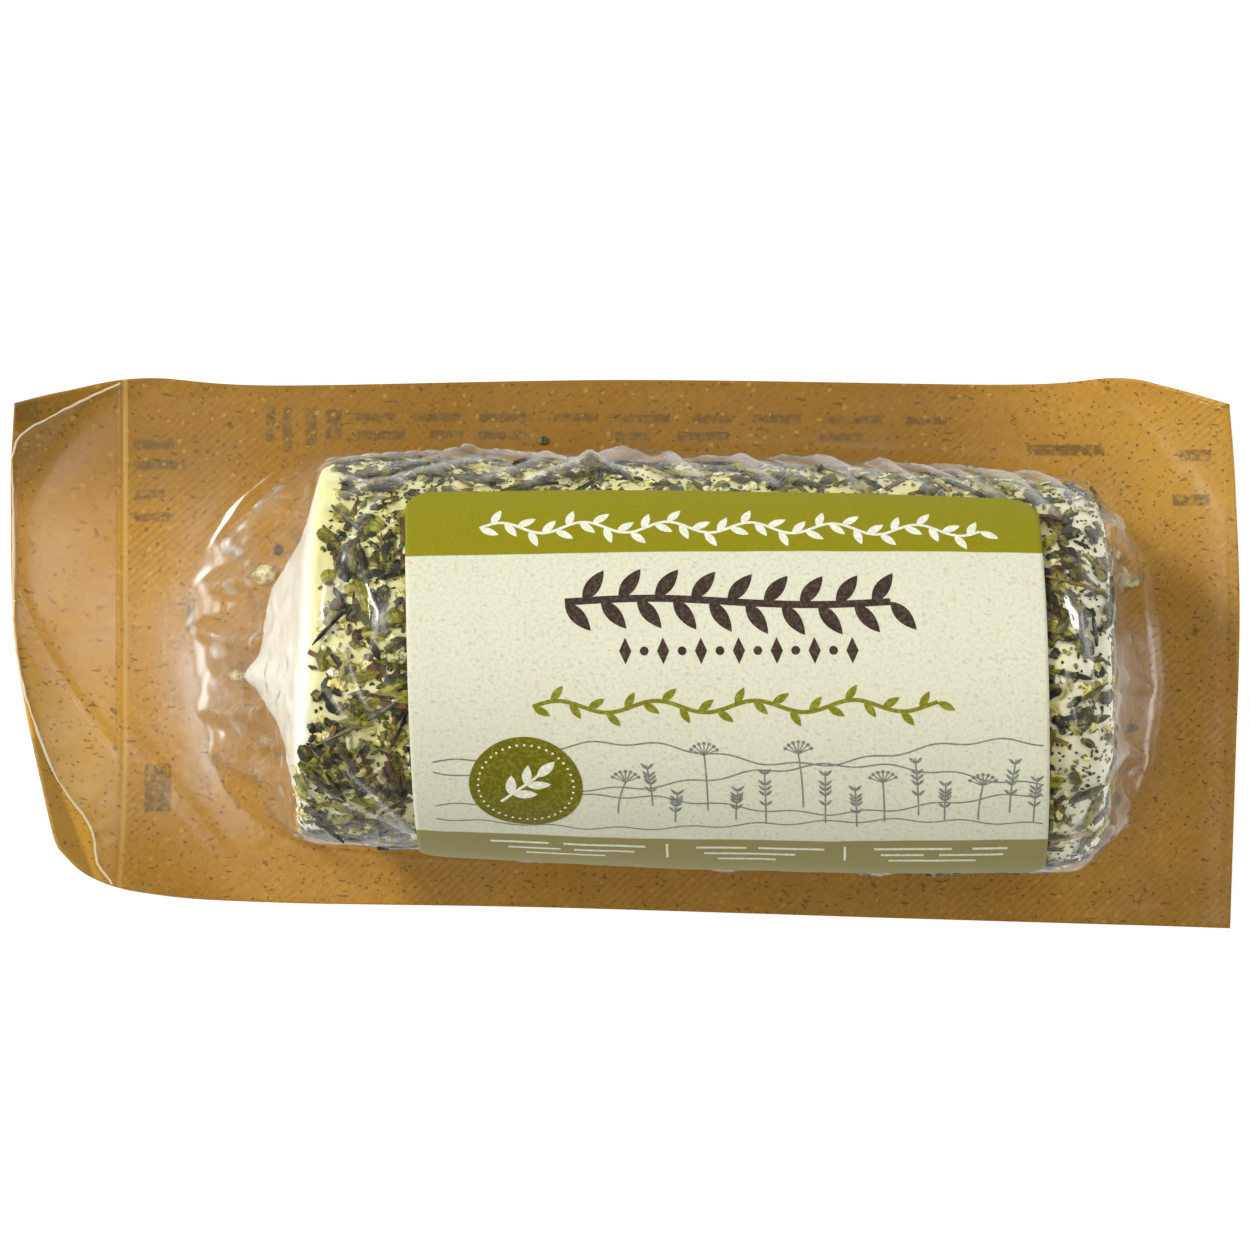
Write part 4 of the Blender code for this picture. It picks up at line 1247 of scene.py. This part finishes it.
leafSections = {
    "blade": [(-0.5, 0.10, -0.06), (-0.30, 0.42, -0.34), (0.0, 0.50, -0.46),
              (0.30, 0.36, -0.42), (0.5, 0.08, -0.04)],
    "leaf": [(-0.5, 0.24, -0.16), (-0.28, 0.50, -0.42), (0.06, 0.40, -0.50),
             (0.32, 0.46, -0.28), (0.5, 0.12, -0.20)],
    "scrap": [(-0.5, 0.34, 0.02), (-0.2, 0.36, -0.48), (0.1, 0.50, -0.40),
              (0.30, 0.22, -0.50), (0.5, 0.02, -0.30)],
}
herbKinds = [
    {"name": "herbBlades", "form": "blade", "seed": 5, "material": leafGreen,
     "perArea": 0.125, "least": (2.2, 0.80, 0.7), "most": (5.4, 1.80, 1.2),
     "tilt": 0.06, "low": 0.10, "high": 0.34, "cover": "coverLong"},
    {"name": "herbNeedles", "form": "blade", "seed": 25, "material": darkLeaf,
     "perArea": 0.065, "least": (2.6, 0.40, 1.0), "most": (6.0, 0.90, 1.8),
     "tilt": 0.06, "low": 0.16, "high": 0.40, "cover": "coverLong"},
    {"name": "herbLeaves", "form": "leaf", "seed": 15, "material": leafGreen,
     "perArea": 0.17, "least": (1.0, 0.7, 0.7), "most": (2.9, 2.0, 1.3),
     "tilt": 0.08, "low": 0.08, "high": 0.30},
    {"name": "herbScraps", "form": "scrap", "seed": 35, "material": darkLeaf,
     "perArea": 0.24, "least": (0.6, 0.4, 0.7), "most": (2.0, 1.3, 1.2),
     "tilt": 0.08, "low": 0.06, "high": 0.28},
    {"name": "herbStems", "form": "stem", "seed": 6, "material": stemBrown,
     "perArea": 0.035, "least": (2.4, 0.28, 0.2), "most": (7.0, 0.65, 0.45),
     "tilt": 0.05, "low": 0.22, "high": 0.44, "cover": "coverLong"},
    {"name": "herbCrumbs", "form": "crumb", "seed": 8, "material": herbDust,
     "perArea": 1.2, "least": (0.2, 0.2, 0.2), "most": (0.85, 0.6, 0.5),
     "tilt": 0.5, "low": 0.03, "high": 0.25, "cover": "coverFine"},
    {"name": "curdCrumbs", "form": "crumb", "seed": 9, "material": paleCurd,
     "perArea": 0.30, "least": (0.5, 0.5, 0.4), "most": (2.4, 1.5, 0.7),
     "tilt": 0.3, "low": 0.16, "high": 0.42},
]
herbPieces = scatterOn(cheeseLog, herbKinds)
place(cheeseLog, "herbed_cheese", "sealed_log")
for piece in herbPieces:
    place(piece, "herbed_cheese", "sealed_log")
print("herb coat made")


# Label: paper over the top and front, with printed bands, sprigs and plain line work

def labelPoint(x, angle, away):
    radius = logRadius(x) + away
    rise = log["top"] - log["centreZ"] + away
    return np.stack([x, logY(x) + radius * np.sin(angle),
                     log["centreZ"] + rise * np.cos(angle)], -1)


def onLabel(x, y, away):
    # A point of the flat label, y 0 at its upper edge, at its place on the log
    down = -y / label["height"]
    back, front = labelEdges(x)
    x = x + label["skew"] * down
    angle = back + (front - back) * down
    return labelPoint(x, angle, label["above"] + labelSwell(x, angle) + away)


def labelSwell(x, angle):
    # The paper follows the folds under it a little
    soft = 0.05 * Waves(61, 9.0).at(x, angle * log["radius"])
    dent = -0.12 * np.exp(-((angle * log["radius"] + 9.5 - (x - 36) * 0.35) / 2.2) ** 2)
    return soft + dent * smoothStep(x, 26, 34)


def makeLabelShape():
    across = np.linspace(0, 1, label["columns"])[None, :]
    down = np.linspace(0, 1, label["rows"])[:, None]
    down = down - 0.85 * np.sin(2 * math.pi * down) / (2 * math.pi)
    corner = label["corner"]
    missing = np.clip(corner - label["height"] * np.minimum(down, 1 - down), 0, corner)
    inset = corner - np.sqrt(corner ** 2 - missing ** 2)
    x = label["left"] + inset + (label["right"] - label["left"] - 2 * inset) * across
    y = -label["height"] * down + 0 * x
    return onLabel(x, y, 0.0), np.stack([x, y, 0 * x], -1)


printed = {
    "topBandEnd": -8.5,
    "bottomBandStart": -41.3,
    "bandSlope": 0.0112,
    "olive": (143, 138, 14),
    "oliveDark": (108, 104, 14),
    "greyOlive": (150, 142, 80),
    "cream": (233, 232, 208),
    "brown": (62, 48, 38),
    "line": (128, 132, 118),
}


def makeLabelMaterial():
    material, tree, shader = newMaterial("labelPaper", Roughness=0.55)
    shader.inputs["Specular IOR Level"].default_value = 0.15
    where = addNode(tree, "ShaderNodeAttribute", attribute_name="plan").outputs["Vector"]
    part = addNode(tree, "ShaderNodeSeparateXYZ", {"Vector": where})
    tone = useGroup(tree, mottle, {"Vector": where, "Size": 0.0004, "Contrast": 1.7})["Value"]
    paper = blended(tree, ranged(tree, tone, 0.35, 0.85), screenColour(230, 228, 199),
                    screenColour(214, 214, 190))
    dots = useGroup(tree, flecks, {"Vector": where, "Size": 0.0007, "Stretch": 1.6,
                                   "Turn": 0.4, "Share": 0.35, "Reach": 0.2})["Mask"]
    paper = blended(tree, maths(tree, "MULTIPLY", dots, 0.38), paper, screenColour(176, 184, 180))
    warm = useGroup(tree, flecks, {"Vector": where, "Size": 0.0012, "Stretch": 2.4,
                                   "Turn": 1.7, "Share": 0.2, "Reach": 0.16})["Mask"]
    paper = blended(tree, maths(tree, "MULTIPLY", warm, 0.3), paper, screenColour(206, 192, 140))
    screen = addNode(tree, "ShaderNodeVectorRotate", {"Vector": where, "Angle": 0.5})
    screen.rotation_type = "Z_AXIS"
    dotPart = addNode(tree, "ShaderNodeSeparateXYZ", {"Vector": screen.outputs[0]})
    rate = 2 * math.pi / (0.26 * mm)
    waveX = maths(tree, "SINE", maths(tree, "MULTIPLY", dotPart.outputs["X"], rate))
    waveY = maths(tree, "SINE", maths(tree, "MULTIPLY", dotPart.outputs["Y"], rate))
    screened = ranged(tree, maths(tree, "MULTIPLY", waveX, waveY), -0.6, 0.6)
    band = blended(tree, maths(tree, "MULTIPLY", screened, 0.5),
                   screenColour(*printed["olive"]), screenColour(166, 152, 40))
    band = blended(tree, ranged(tree, tone, 0.3, 0.8, 0.0, 0.3), band, screenColour(118, 116, 10))
    lower = blended(tree, maths(tree, "MULTIPLY", screened, 0.4),
                    screenColour(*printed["greyOlive"]), screenColour(164, 152, 86))
    straight = maths(tree, "MULTIPLY_ADD", part.outputs["X"], -printed["bandSlope"],
                     part.outputs["Y"])
    onTop = ranged(tree, straight, (printed["topBandEnd"] - 0.15) * mm,
                   (printed["topBandEnd"] - 0.05) * mm)
    onLow = ranged(tree, part.outputs["Y"], (printed["bottomBandStart"] + 0.05) * mm,
                   (printed["bottomBandStart"] - 0.05) * mm)
    colour = blended(tree, onTop, paper, band)
    colour = blended(tree, onLow, colour, lower)
    tree.links.new(colour, shader.inputs["Base Color"])
    bump = addNode(tree, "ShaderNodeBump", {"Height": tone, "Distance": 0.00002,
                                            "Strength": 0.3})
    tree.links.new(bump.outputs[0], shader.inputs["Normal"])
    return material


labelPaper = makeLabelMaterial()
labelShape, labelPlan = makeLabelShape()
labelPiece = newPiece("paperLabel", labelShape.reshape(-1, 3), gridFaces(*labelShape.shape[:2]),
                      labelPaper)
storeNumbers(labelPiece, "plan", labelPlan.reshape(-1, 3) * mm)
labelPiece.data.flip_normals()
thicken(labelPiece, label["thickness"], 1)
place(labelPiece, "label_paper", "label")
print("label made")


# Printed shapes: drawn flat in mm, with y 0 at the label's upper edge, then laid on the paper

def leafOutline(x, y, length, width, turn, points=9):
    outline = []
    for way in (1, -1):
        for i in range(points):
            t = i / points if way > 0 else 1 - i / points
            px = t * length
            py = way * width / 2 * math.sin(math.pi * t) ** 0.8 * (1.15 - 0.3 * t)
            outline.append((x + px * math.cos(turn) - py * math.sin(turn),
                            y + px * math.sin(turn) + py * math.cos(turn)))
    return outline


def strip(points, width):
    # A line of even width, as one outline
    points = np.array(points, float)
    way = np.gradient(points, axis=0)
    way /= np.linalg.norm(way, axis=1, keepdims=True)
    off = np.stack([-way[:, 1], way[:, 0]], -1) * width / 2
    return [tuple(p) for p in points + off] + [tuple(p) for p in (points - off)[::-1]]


def disc(x, y, radius, points=48):
    return [(x + radius * math.cos(2 * math.pi * i / points),
             y + radius * math.sin(2 * math.pi * i / points)) for i in range(points)]


def wave(left, right, middle, height, length):
    x = np.linspace(left, right, 90)
    y = middle + height * np.sin(2 * math.pi * (x - left) / length)
    return list(zip(x, y))


def flatMesh(name, outlines):
    sheet = bmesh.new()
    for outline in outlines:
        corners = [sheet.verts.new((px * mm, py * mm, 0)) for px, py in outline]
        sheet.faces.new(corners)
    bmesh.ops.triangulate(sheet, faces=sheet.faces)
    mesh = bpy.data.meshes.new(name)
    sheet.to_mesh(mesh)
    sheet.free()
    return mesh


def lay(name, meshes, colour, layer=0):
    # Cuts flat shapes fine enough to bend, lays them on the label and gives them a thin body
    sheet = bmesh.new()
    for mesh in meshes:
        sheet.from_mesh(mesh)
    for axis, step in ((1, 0.9 * mm), (0, 1.8 * mm)):
        spots = [vert.co[axis] for vert in sheet.verts]
        way = Vector((1 - axis, axis, 0))
        for i in range(math.floor(min(spots) / step), math.ceil(max(spots) / step)):
            everything = sheet.verts[:] + sheet.edges[:] + sheet.faces[:]
            bmesh.ops.bisect_plane(sheet, geom=everything, dist=1e-7, plane_co=way * i * step,
                                   plane_no=way)
    for face in sheet.faces:
        if face.normal.z < 0:
            face.normal_flip()
    points = np.array([vert.co[:] for vert in sheet.verts]) / mm
    x = points[:, 0]
    away = label["thickness"] + 0.008 + 0.016 * layer
    for vert, spot in zip(sheet.verts, onLabel(x, points[:, 1], away)):
        vert.co = Vector(spot) * mm
    mesh = bpy.data.meshes.new(name)
    sheet.to_mesh(mesh)
    sheet.free()
    piece = bpy.data.objects.new(name, mesh)
    bpy.context.scene.collection.objects.link(piece)
    mesh.materials.append(makeInk(name + "Ink", colour))
    mesh.shade_flat()
    thicken(piece, 0.012, 1)
    place(piece, "label_paper", "label")
    return piece


def makeInk(name, colour):
    material, tree, shader = newMaterial(name, Roughness=0.55)
    shader.inputs["Specular IOR Level"].default_value = 0.15
    where = addNode(tree, "ShaderNodeTexCoord").outputs["Object"]
    tone = useGroup(tree, mottle, {"Vector": where, "Size": 0.0004, "Contrast": 2.4})["Value"]
    paler = tuple(min(255, value + 26) for value in colour)
    tree.links.new(blended(tree, ranged(tree, tone, 0.4, 0.8), screenColour(*colour),
                           screenColour(*paler)), shader.inputs["Base Color"])
    return material


def makeSprigTree():
    # Leaves on both sides of a line, turned alternately away from it
    tree = bpy.data.node_groups.new("sprig", "GeometryNodeTree")
    sockets = {}
    for name, kind in (("Geometry", "NodeSocketGeometry"), ("Leaf", "NodeSocketObject"),
                       ("Spacing", "NodeSocketFloat"), ("Lean", "NodeSocketFloat"),
                       ("Size", "NodeSocketFloat"), ("Material", "NodeSocketMaterial")):
        sockets[name] = tree.interface.new_socket(name=name, in_out="INPUT", socket_type=kind)
    tree.interface.new_socket(name="Geometry", in_out="OUTPUT",
                              socket_type="NodeSocketGeometry")
    start = tree.nodes.new("NodeGroupInput").outputs
    end = tree.nodes.new("NodeGroupOutput").inputs
    line = addNode(tree, "GeometryNodeMeshToCurve", {"Mesh": start["Geometry"]})
    stops = addNode(tree, "GeometryNodeResampleCurve",
                    {"Curve": line.outputs[0], "Length": start["Spacing"]}, mode="LENGTH")
    tangent = addNode(tree, "GeometryNodeInputTangent").outputs[0]
    along = addNode(tree, "FunctionNodeAlignRotationToVector", {"Vector": tangent}, axis="X",
                    pivot_axis="Z")
    index = addNode(tree, "GeometryNodeInputIndex").outputs[0]
    odd = maths(tree, "MODULO", index, 2.0)
    sign = maths(tree, "MULTIPLY_ADD", odd, 2.0, -1.0)
    lean = addNode(tree, "ShaderNodeCombineXYZ", {"Z": maths(tree, "MULTIPLY", sign,
                                                            start["Lean"])})
    asTurn = addNode(tree, "FunctionNodeEulerToRotation", {0: lean.outputs[0]})
    turned = addNode(tree, "FunctionNodeRotateRotation", {0: along.outputs[0],
                                                          1: asTurn.outputs[0]},
                     rotation_space="LOCAL")
    shape = addNode(tree, "GeometryNodeObjectInfo", {"Object": start["Leaf"],
                                                     "As Instance": True})
    copies = addNode(tree, "GeometryNodeInstanceOnPoints",
                     {"Points": stops.outputs[0], "Instance": shape.outputs["Geometry"],
                      "Rotation": turned.outputs[0], "Scale": start["Size"]})
    real = addNode(tree, "GeometryNodeRealizeInstances", {"Geometry": copies.outputs[0]})
    dressed = addNode(tree, "GeometryNodeSetMaterial", {"Geometry": real.outputs[0],
                                                        "Material": start["Material"]})
    tree.links.new(dressed.outputs[0], end["Geometry"])
    return tree, {name: socket.identifier for name, socket in sockets.items()}


sprigTree, sprigSockets = makeSprigTree()


def sprigLeaves(name, line, leafLength, leafWidth, spacing, lean):
    points = [(px * mm, py * mm, 0) for px, py in line]
    thread = bpy.data.meshes.new(name + "Line")
    thread.from_pydata(points, [(i, i + 1) for i in range(len(points) - 1)], [])
    host = bpy.data.objects.new(name + "Host", thread)
    leafMesh = flatMesh(name + "Leaf", [leafOutline(0, 0, leafLength, leafWidth, 0)])
    leaf = bpy.data.objects.new(name + "Leaf", leafMesh)
    bpy.context.scene.collection.objects.link(leaf)
    values = {"Leaf": leaf, "Spacing": spacing * mm, "Lean": lean, "Size": 1.0,
              "Material": labelPaper}
    piece = grown(name, host, sprigTree, sprigSockets, values)
    mesh = piece.data
    bpy.data.objects.remove(piece)
    bpy.data.objects.remove(leaf)
    bpy.data.objects.remove(host)
    mesh.materials.clear()
    return mesh


artwork = {
    "garland": {"left": -15, "right": 36, "middle": -5.5, "height": 0.7, "length": 8.5},
    "bigSprig": {"left": -6.5, "right": 26.5, "middle": -14.0, "height": 0.35, "length": 33},
    "lozenges": {"left": -0.5, "right": 22.5, "middle": -19.0, "count": 13},
    "oliveVine": {"left": -10, "right": 31, "middle": -24.6, "height": 0.6, "length": 10},
    "badge": {"x": -11.0, "y": -33.6, "radius": 5.8},
    "hills": [(-29.6, 1.2, 38), (-32.4, 1.5, 52), (-35.8, 1.1, 44), (-38.8, 0.8, 60)],
}


def drawGarland():
    look = artwork["garland"]
    line = wave(look["left"], look["right"], look["middle"], look["height"], look["length"])
    leaves = sprigLeaves("garlandLeaves", line, 2.1, 0.85, 1.35, 0.85)
    stem = flatMesh("garlandStem", [strip(line, 0.32)])
    lay("creamGarland", [leaves, stem], printed["cream"])


def drawBigSprig():
    look = artwork["bigSprig"]
    line = wave(look["left"], look["right"], look["middle"], look["height"], look["length"])
    leaves = sprigLeaves("bigLeaves", line, 3.9, 1.5, 1.75, 0.92)
    stem = flatMesh("bigStem", [strip(line, 0.75)])
    lay("brownSprig", [leaves, stem], printed["brown"])


def drawLozenges():
    look = artwork["lozenges"]
    step = (look["right"] - look["left"]) / (look["count"] - 1)
    outlines = []
    for i in range(look["count"]):
        x = look["left"] + step * i
        y = look["middle"]
        if i % 2:
            outlines.append(disc(x, y, 0.45, 16))
        else:
            outlines.append([(x - 0.62, y), (x, y - 1.35), (x + 0.62, y), (x, y + 1.35)])
    lay("brownLozenges", [flatMesh("lozenges", outlines)], printed["brown"])


def drawOliveVine():
    look = artwork["oliveVine"]
    line = wave(look["left"], look["right"], look["middle"], look["height"], look["length"])
    leaves = sprigLeaves("vineLeaves", line, 2.0, 0.8, 1.9, 0.8)
    stem = flatMesh("vineStem", [strip(line, 0.42)])
    lay("oliveVine", [leaves, stem], (126, 126, 26))


def drawHills():
    outlines = []
    rng = random.Random(71)
    for middle, height, length in artwork["hills"]:
        x = np.linspace(label["left"] + 2.2, label["right"] - 0.6, 120)
        y = middle + height * np.sin(2 * math.pi * x / length + middle) \
            + 0.25 * np.sin(x * 0.9 + middle * 3)
        outlines.append(strip(list(zip(x, y)), 0.17))
    # Grass heads and seed umbels standing along the hills
    for i in range(15):
        x = -1.5 + i * 3.05 + rng.uniform(-0.5, 0.5)
        foot = -37.2 + rng.uniform(-1.8, 1.2)
        tall = rng.uniform(4.2, 7.6)
        bend = rng.uniform(-0.9, 0.9)
        stem = [(x + bend * t * t, foot + tall * t) for t in np.linspace(0, 1, 12)]
        outlines.append(strip(stem, 0.16))
        tip = stem[-1]
        if i % 3 == 0:
            for k in range(7):
                turn = math.radians(28 + 124 * k / 6)
                end = (tip[0] + 1.5 * math.cos(turn), tip[1] + 1.3 * math.sin(turn))
                outlines.append(strip([tip, ((tip[0] + end[0]) / 2, (tip[1] + end[1]) / 2),
                                       end], 0.13))
                outlines.append(disc(end[0], end[1], 0.2, 10))
        else:
            for k in range(5):
                t = 0.45 + 0.12 * k
                px, py = stem[min(11, int(t * 11))]
                for way in (-1, 1):
                    turn = math.pi / 2 - way * 0.75
                    outlines.append(leafOutline(px, py, 1.0, 0.32, turn, 5))
    lay("greyHills", [flatMesh("hills", outlines)], printed["line"])


def drawBadge():
    look = artwork["badge"]
    x, y, radius = look["x"], look["y"], look["radius"]
    lay("oliveBadge", [flatMesh("badge", [disc(x, y, radius)])], printed["oliveDark"], 1)
    ring = []
    count = 40
    for i in range(count):
        turn = 2 * math.pi * i / count
        ring.append(disc(x + radius * 0.84 * math.cos(turn), y + radius * 0.84 * math.sin(turn),
                         0.14, 8))
    middle = [(x - 2.6, y - 2.2), (x - 0.4, y - 0.2), (x + 2.4, y + 2.3)]
    leaves = [leafOutline(x - 1.6, y - 1.3, 2.6, 1.1, 1.5), leafOutline(x - 1.4, y - 1.2, 2.6,
                                                                       1.1, 0.05),
              leafOutline(x, y + 0.1, 2.5, 1.0, 1.45), leafOutline(x + 0.1, y, 2.5, 1.0, 0.1),
              strip(middle, 0.3), leafOutline(x + 1.2, y + 1.2, 2.6, 1.1, 0.78)]
    lay("badgeLeaf", [flatMesh("badgeLeaf", ring + leaves)], printed["cream"], 2)


def drawLowerMarks():
    outlines = []
    for x in (3.2, 21.5):
        outlines.append([(x - 0.13, -45.4), (x + 0.13, -45.4), (x + 0.13, -42.3),
                         (x - 0.13, -42.3)])
    for y, runs in ((-42.9, ((-15, 6.0), (-7.5, 8.5), (6.2, 5.2), (12.6, 6.8), (24.5, 8.0),
                             (34.6, 3.6))),
                    (-44.2, ((-13.2, 5.4), (-6.4, 6.2), (7.0, 9.4), (25.2, 4.4), (31.2, 6.6))),
                    (-45.5, ((-11.4, 8.2), (8.4, 6.0), (26.0, 9.0)))):
        for x, length in runs:
            outlines.append([(x, y - 0.2), (x + length, y - 0.2), (x + length, y + 0.2),
                             (x, y + 0.2)])
    lay("lowerMarks", [flatMesh("marks", outlines)], printed["cream"])


drawGarland()
drawBigSprig()
drawLozenges()
drawOliveVine()
drawHills()
drawBadge()
drawLowerMarks()
print("print laid on the label")


# Loose bits of herb and cheese that lie on the backing, under the film

looseBits = [
    # x, y, length, width, height, turn in degrees, what it is
    (-8.9, 23.0, 1.1, 0.9, 0.30, 20, "leaf"),
    (54.4, -8.1, 2.1, 1.0, 0.32, 8, "leaf"),
    (53.0, -15.8, 1.7, 1.4, 0.32, 60, "leaf"),
    (-37.6, 11.2, 1.3, 0.8, 0.30, 75, "leaf"),
    (-39.0, 8.5, 2.6, 2.2, 0.9, 20, "curd"),
    (-41.9, -2.4, 1.3, 1.9, 0.8, 80, "curd"),
    (-35.0, -6.3, 0.65, 1.9, 0.4, 0, "leaf"),
    (54.0, 7.9, 3.6, 1.7, 1.0, -8, "curd"),
    (53.0, 10.8, 1.8, 1.2, 0.9, -40, "curd"),
]


def addLooseBits():
    for kind, material in (("leaf", leafGreen), ("curd", paleCurd)):
        rng = random.Random(81)
        verts = []
        faces = []
        for x, y, length, width, tall, turn, form in looseBits:
            if form != kind:
                continue
            lump = bmesh.new()
            bmesh.ops.create_icosphere(lump, subdivisions=2, radius=0.5)
            turned = Matrix.Rotation(math.radians(turn), 3, "Z")
            low = float(sheetAbove(np.array(x), np.array(y), backing["thickness"] + 0.1))
            first = len(verts)
            for vert in lump.verts:
                co = vert.co * rng.uniform(0.85, 1.15)
                co = turned @ Vector((co.x * length, co.y * width, 0))
                verts.append((x + co.x, y + co.y, low + (vert.co.z + 0.5) * tall))
            for face in lump.faces:
                faces.append(tuple(first + vert.index for vert in face.verts))
            lump.free()
        piece = newPiece("loose" + kind.capitalize(), verts, faces, material)
        storeNumbers(piece, "tint", np.full(len(verts), 0.05))
        place(piece, "herbed_cheese", "sealed_log")


addLooseBits()
print("loose bits laid")


# Floor, light and camera

studio = {
    "floorSize": 3.0,
    "floorShade": 0.22,
    "floorGlow": 0.89,
    "keyPlace": (-0.70, 0.52, 0.95),
    "keySize": 0.22,
    "keyPower": 8.9,
    "panelPlace": (-0.58, -0.380, 1.25),
    "panelSize": (0.95, 0.80),
    "panelTurn": 0.095,
    "panelPower": 5.2,
    "cardPlace": (0.75, 0.45, 1.10),
    "cardSize": (1.00, 1.00),
    "cardPower": 4.3,
    "stripPlace": (0.20, 0.28, 1.25),
    "stripSize": (0.46, 0.20),
    "stripTurn": 0.66,
    "stripPower": 0.45,
    "leftGlowPlace": (-1.15, 0.05, 0.50),
    "rightGlowPlace": (1.15, -0.10, 0.50),
    "glowSize": (0.70, 0.60),
    "leftGlowPower": 5.2,
    "rightGlowPower": 3.4,
    "world": 0.07,
    "eyeHeight": 0.650,
    "eyeX": -0.00005,
    "eyeY": 0.00308,
    "lens": 172.9,
}


def addArea(name, where, target, size, power):
    lamp = bpy.data.lights.new(name, "AREA")
    lamp.shape = "RECTANGLE"
    lamp.size = size[0]
    lamp.size_y = size[1]
    lamp.energy = power
    light = bpy.data.objects.new(name, lamp)
    light.location = where
    light.rotation_euler = (Vector(target) - Vector(where)).to_track_quat("-Z", "Y").to_euler()
    bpy.context.scene.collection.objects.link(light)
    return light


def makeStudio():
    material, _, shader = newMaterial("studioFloor", Roughness=0.9)
    shader.inputs["Base Color"].default_value = (studio["floorShade"],) * 3 + (1,)
    shader.inputs["Emission Color"].default_value = (1, 1, 1, 1)
    shader.inputs["Emission Strength"].default_value = studio["floorGlow"]
    half = studio["floorSize"] / 2 / mm
    floor = newPiece("floor", [(-half, -half, -0.02), (half, -half, -0.02), (half, half, -0.02),
                               (-half, half, -0.02)], [(0, 1, 2, 3)], material)
    addArea("keyLight", studio["keyPlace"], (0, 0, 0.02), (studio["keySize"],) * 2,
            studio["keyPower"])
    panel = addArea("topPanel", studio["panelPlace"], (studio["panelPlace"][0],
                                                       studio["panelPlace"][1], 0),
                    studio["panelSize"], studio["panelPower"])
    panel.rotation_euler = (0, 0, studio["panelTurn"])
    addArea("sideCard", studio["cardPlace"], (0, 0, 0.02), studio["cardSize"],
            studio["cardPower"])
    strip = addArea("topStrip", studio["stripPlace"], (0, 0, 0.02), studio["stripSize"],
                    studio["stripPower"])
    strip.rotation_euler = (0, 0, studio["stripTurn"])
    for side in ("left", "right"):
        addArea(side + "Glow", studio[side + "GlowPlace"], (0, 0, 0.02), studio["glowSize"],
                studio[side + "GlowPower"])
    world = bpy.data.worlds.new("studioWorld")
    world.use_nodes = True
    world.node_tree.nodes["Background"].inputs["Color"].default_value = (1, 1, 1, 1)
    world.node_tree.nodes["Background"].inputs["Strength"].default_value = studio["world"]
    scene = bpy.context.scene
    scene.world = world
    scene.view_settings.view_transform = "Standard"
    lens = bpy.data.cameras.new("photoCamera")
    lens.lens = studio["lens"]
    lens.sensor_width = 36
    lens.clip_start = 0.05
    lens.clip_end = 20
    camera = bpy.data.objects.new("photoCamera", lens)
    camera.location = (studio["eyeX"], studio["eyeY"], studio["eyeHeight"])
    scene.collection.objects.link(camera)
    scene.camera = camera


makeStudio()
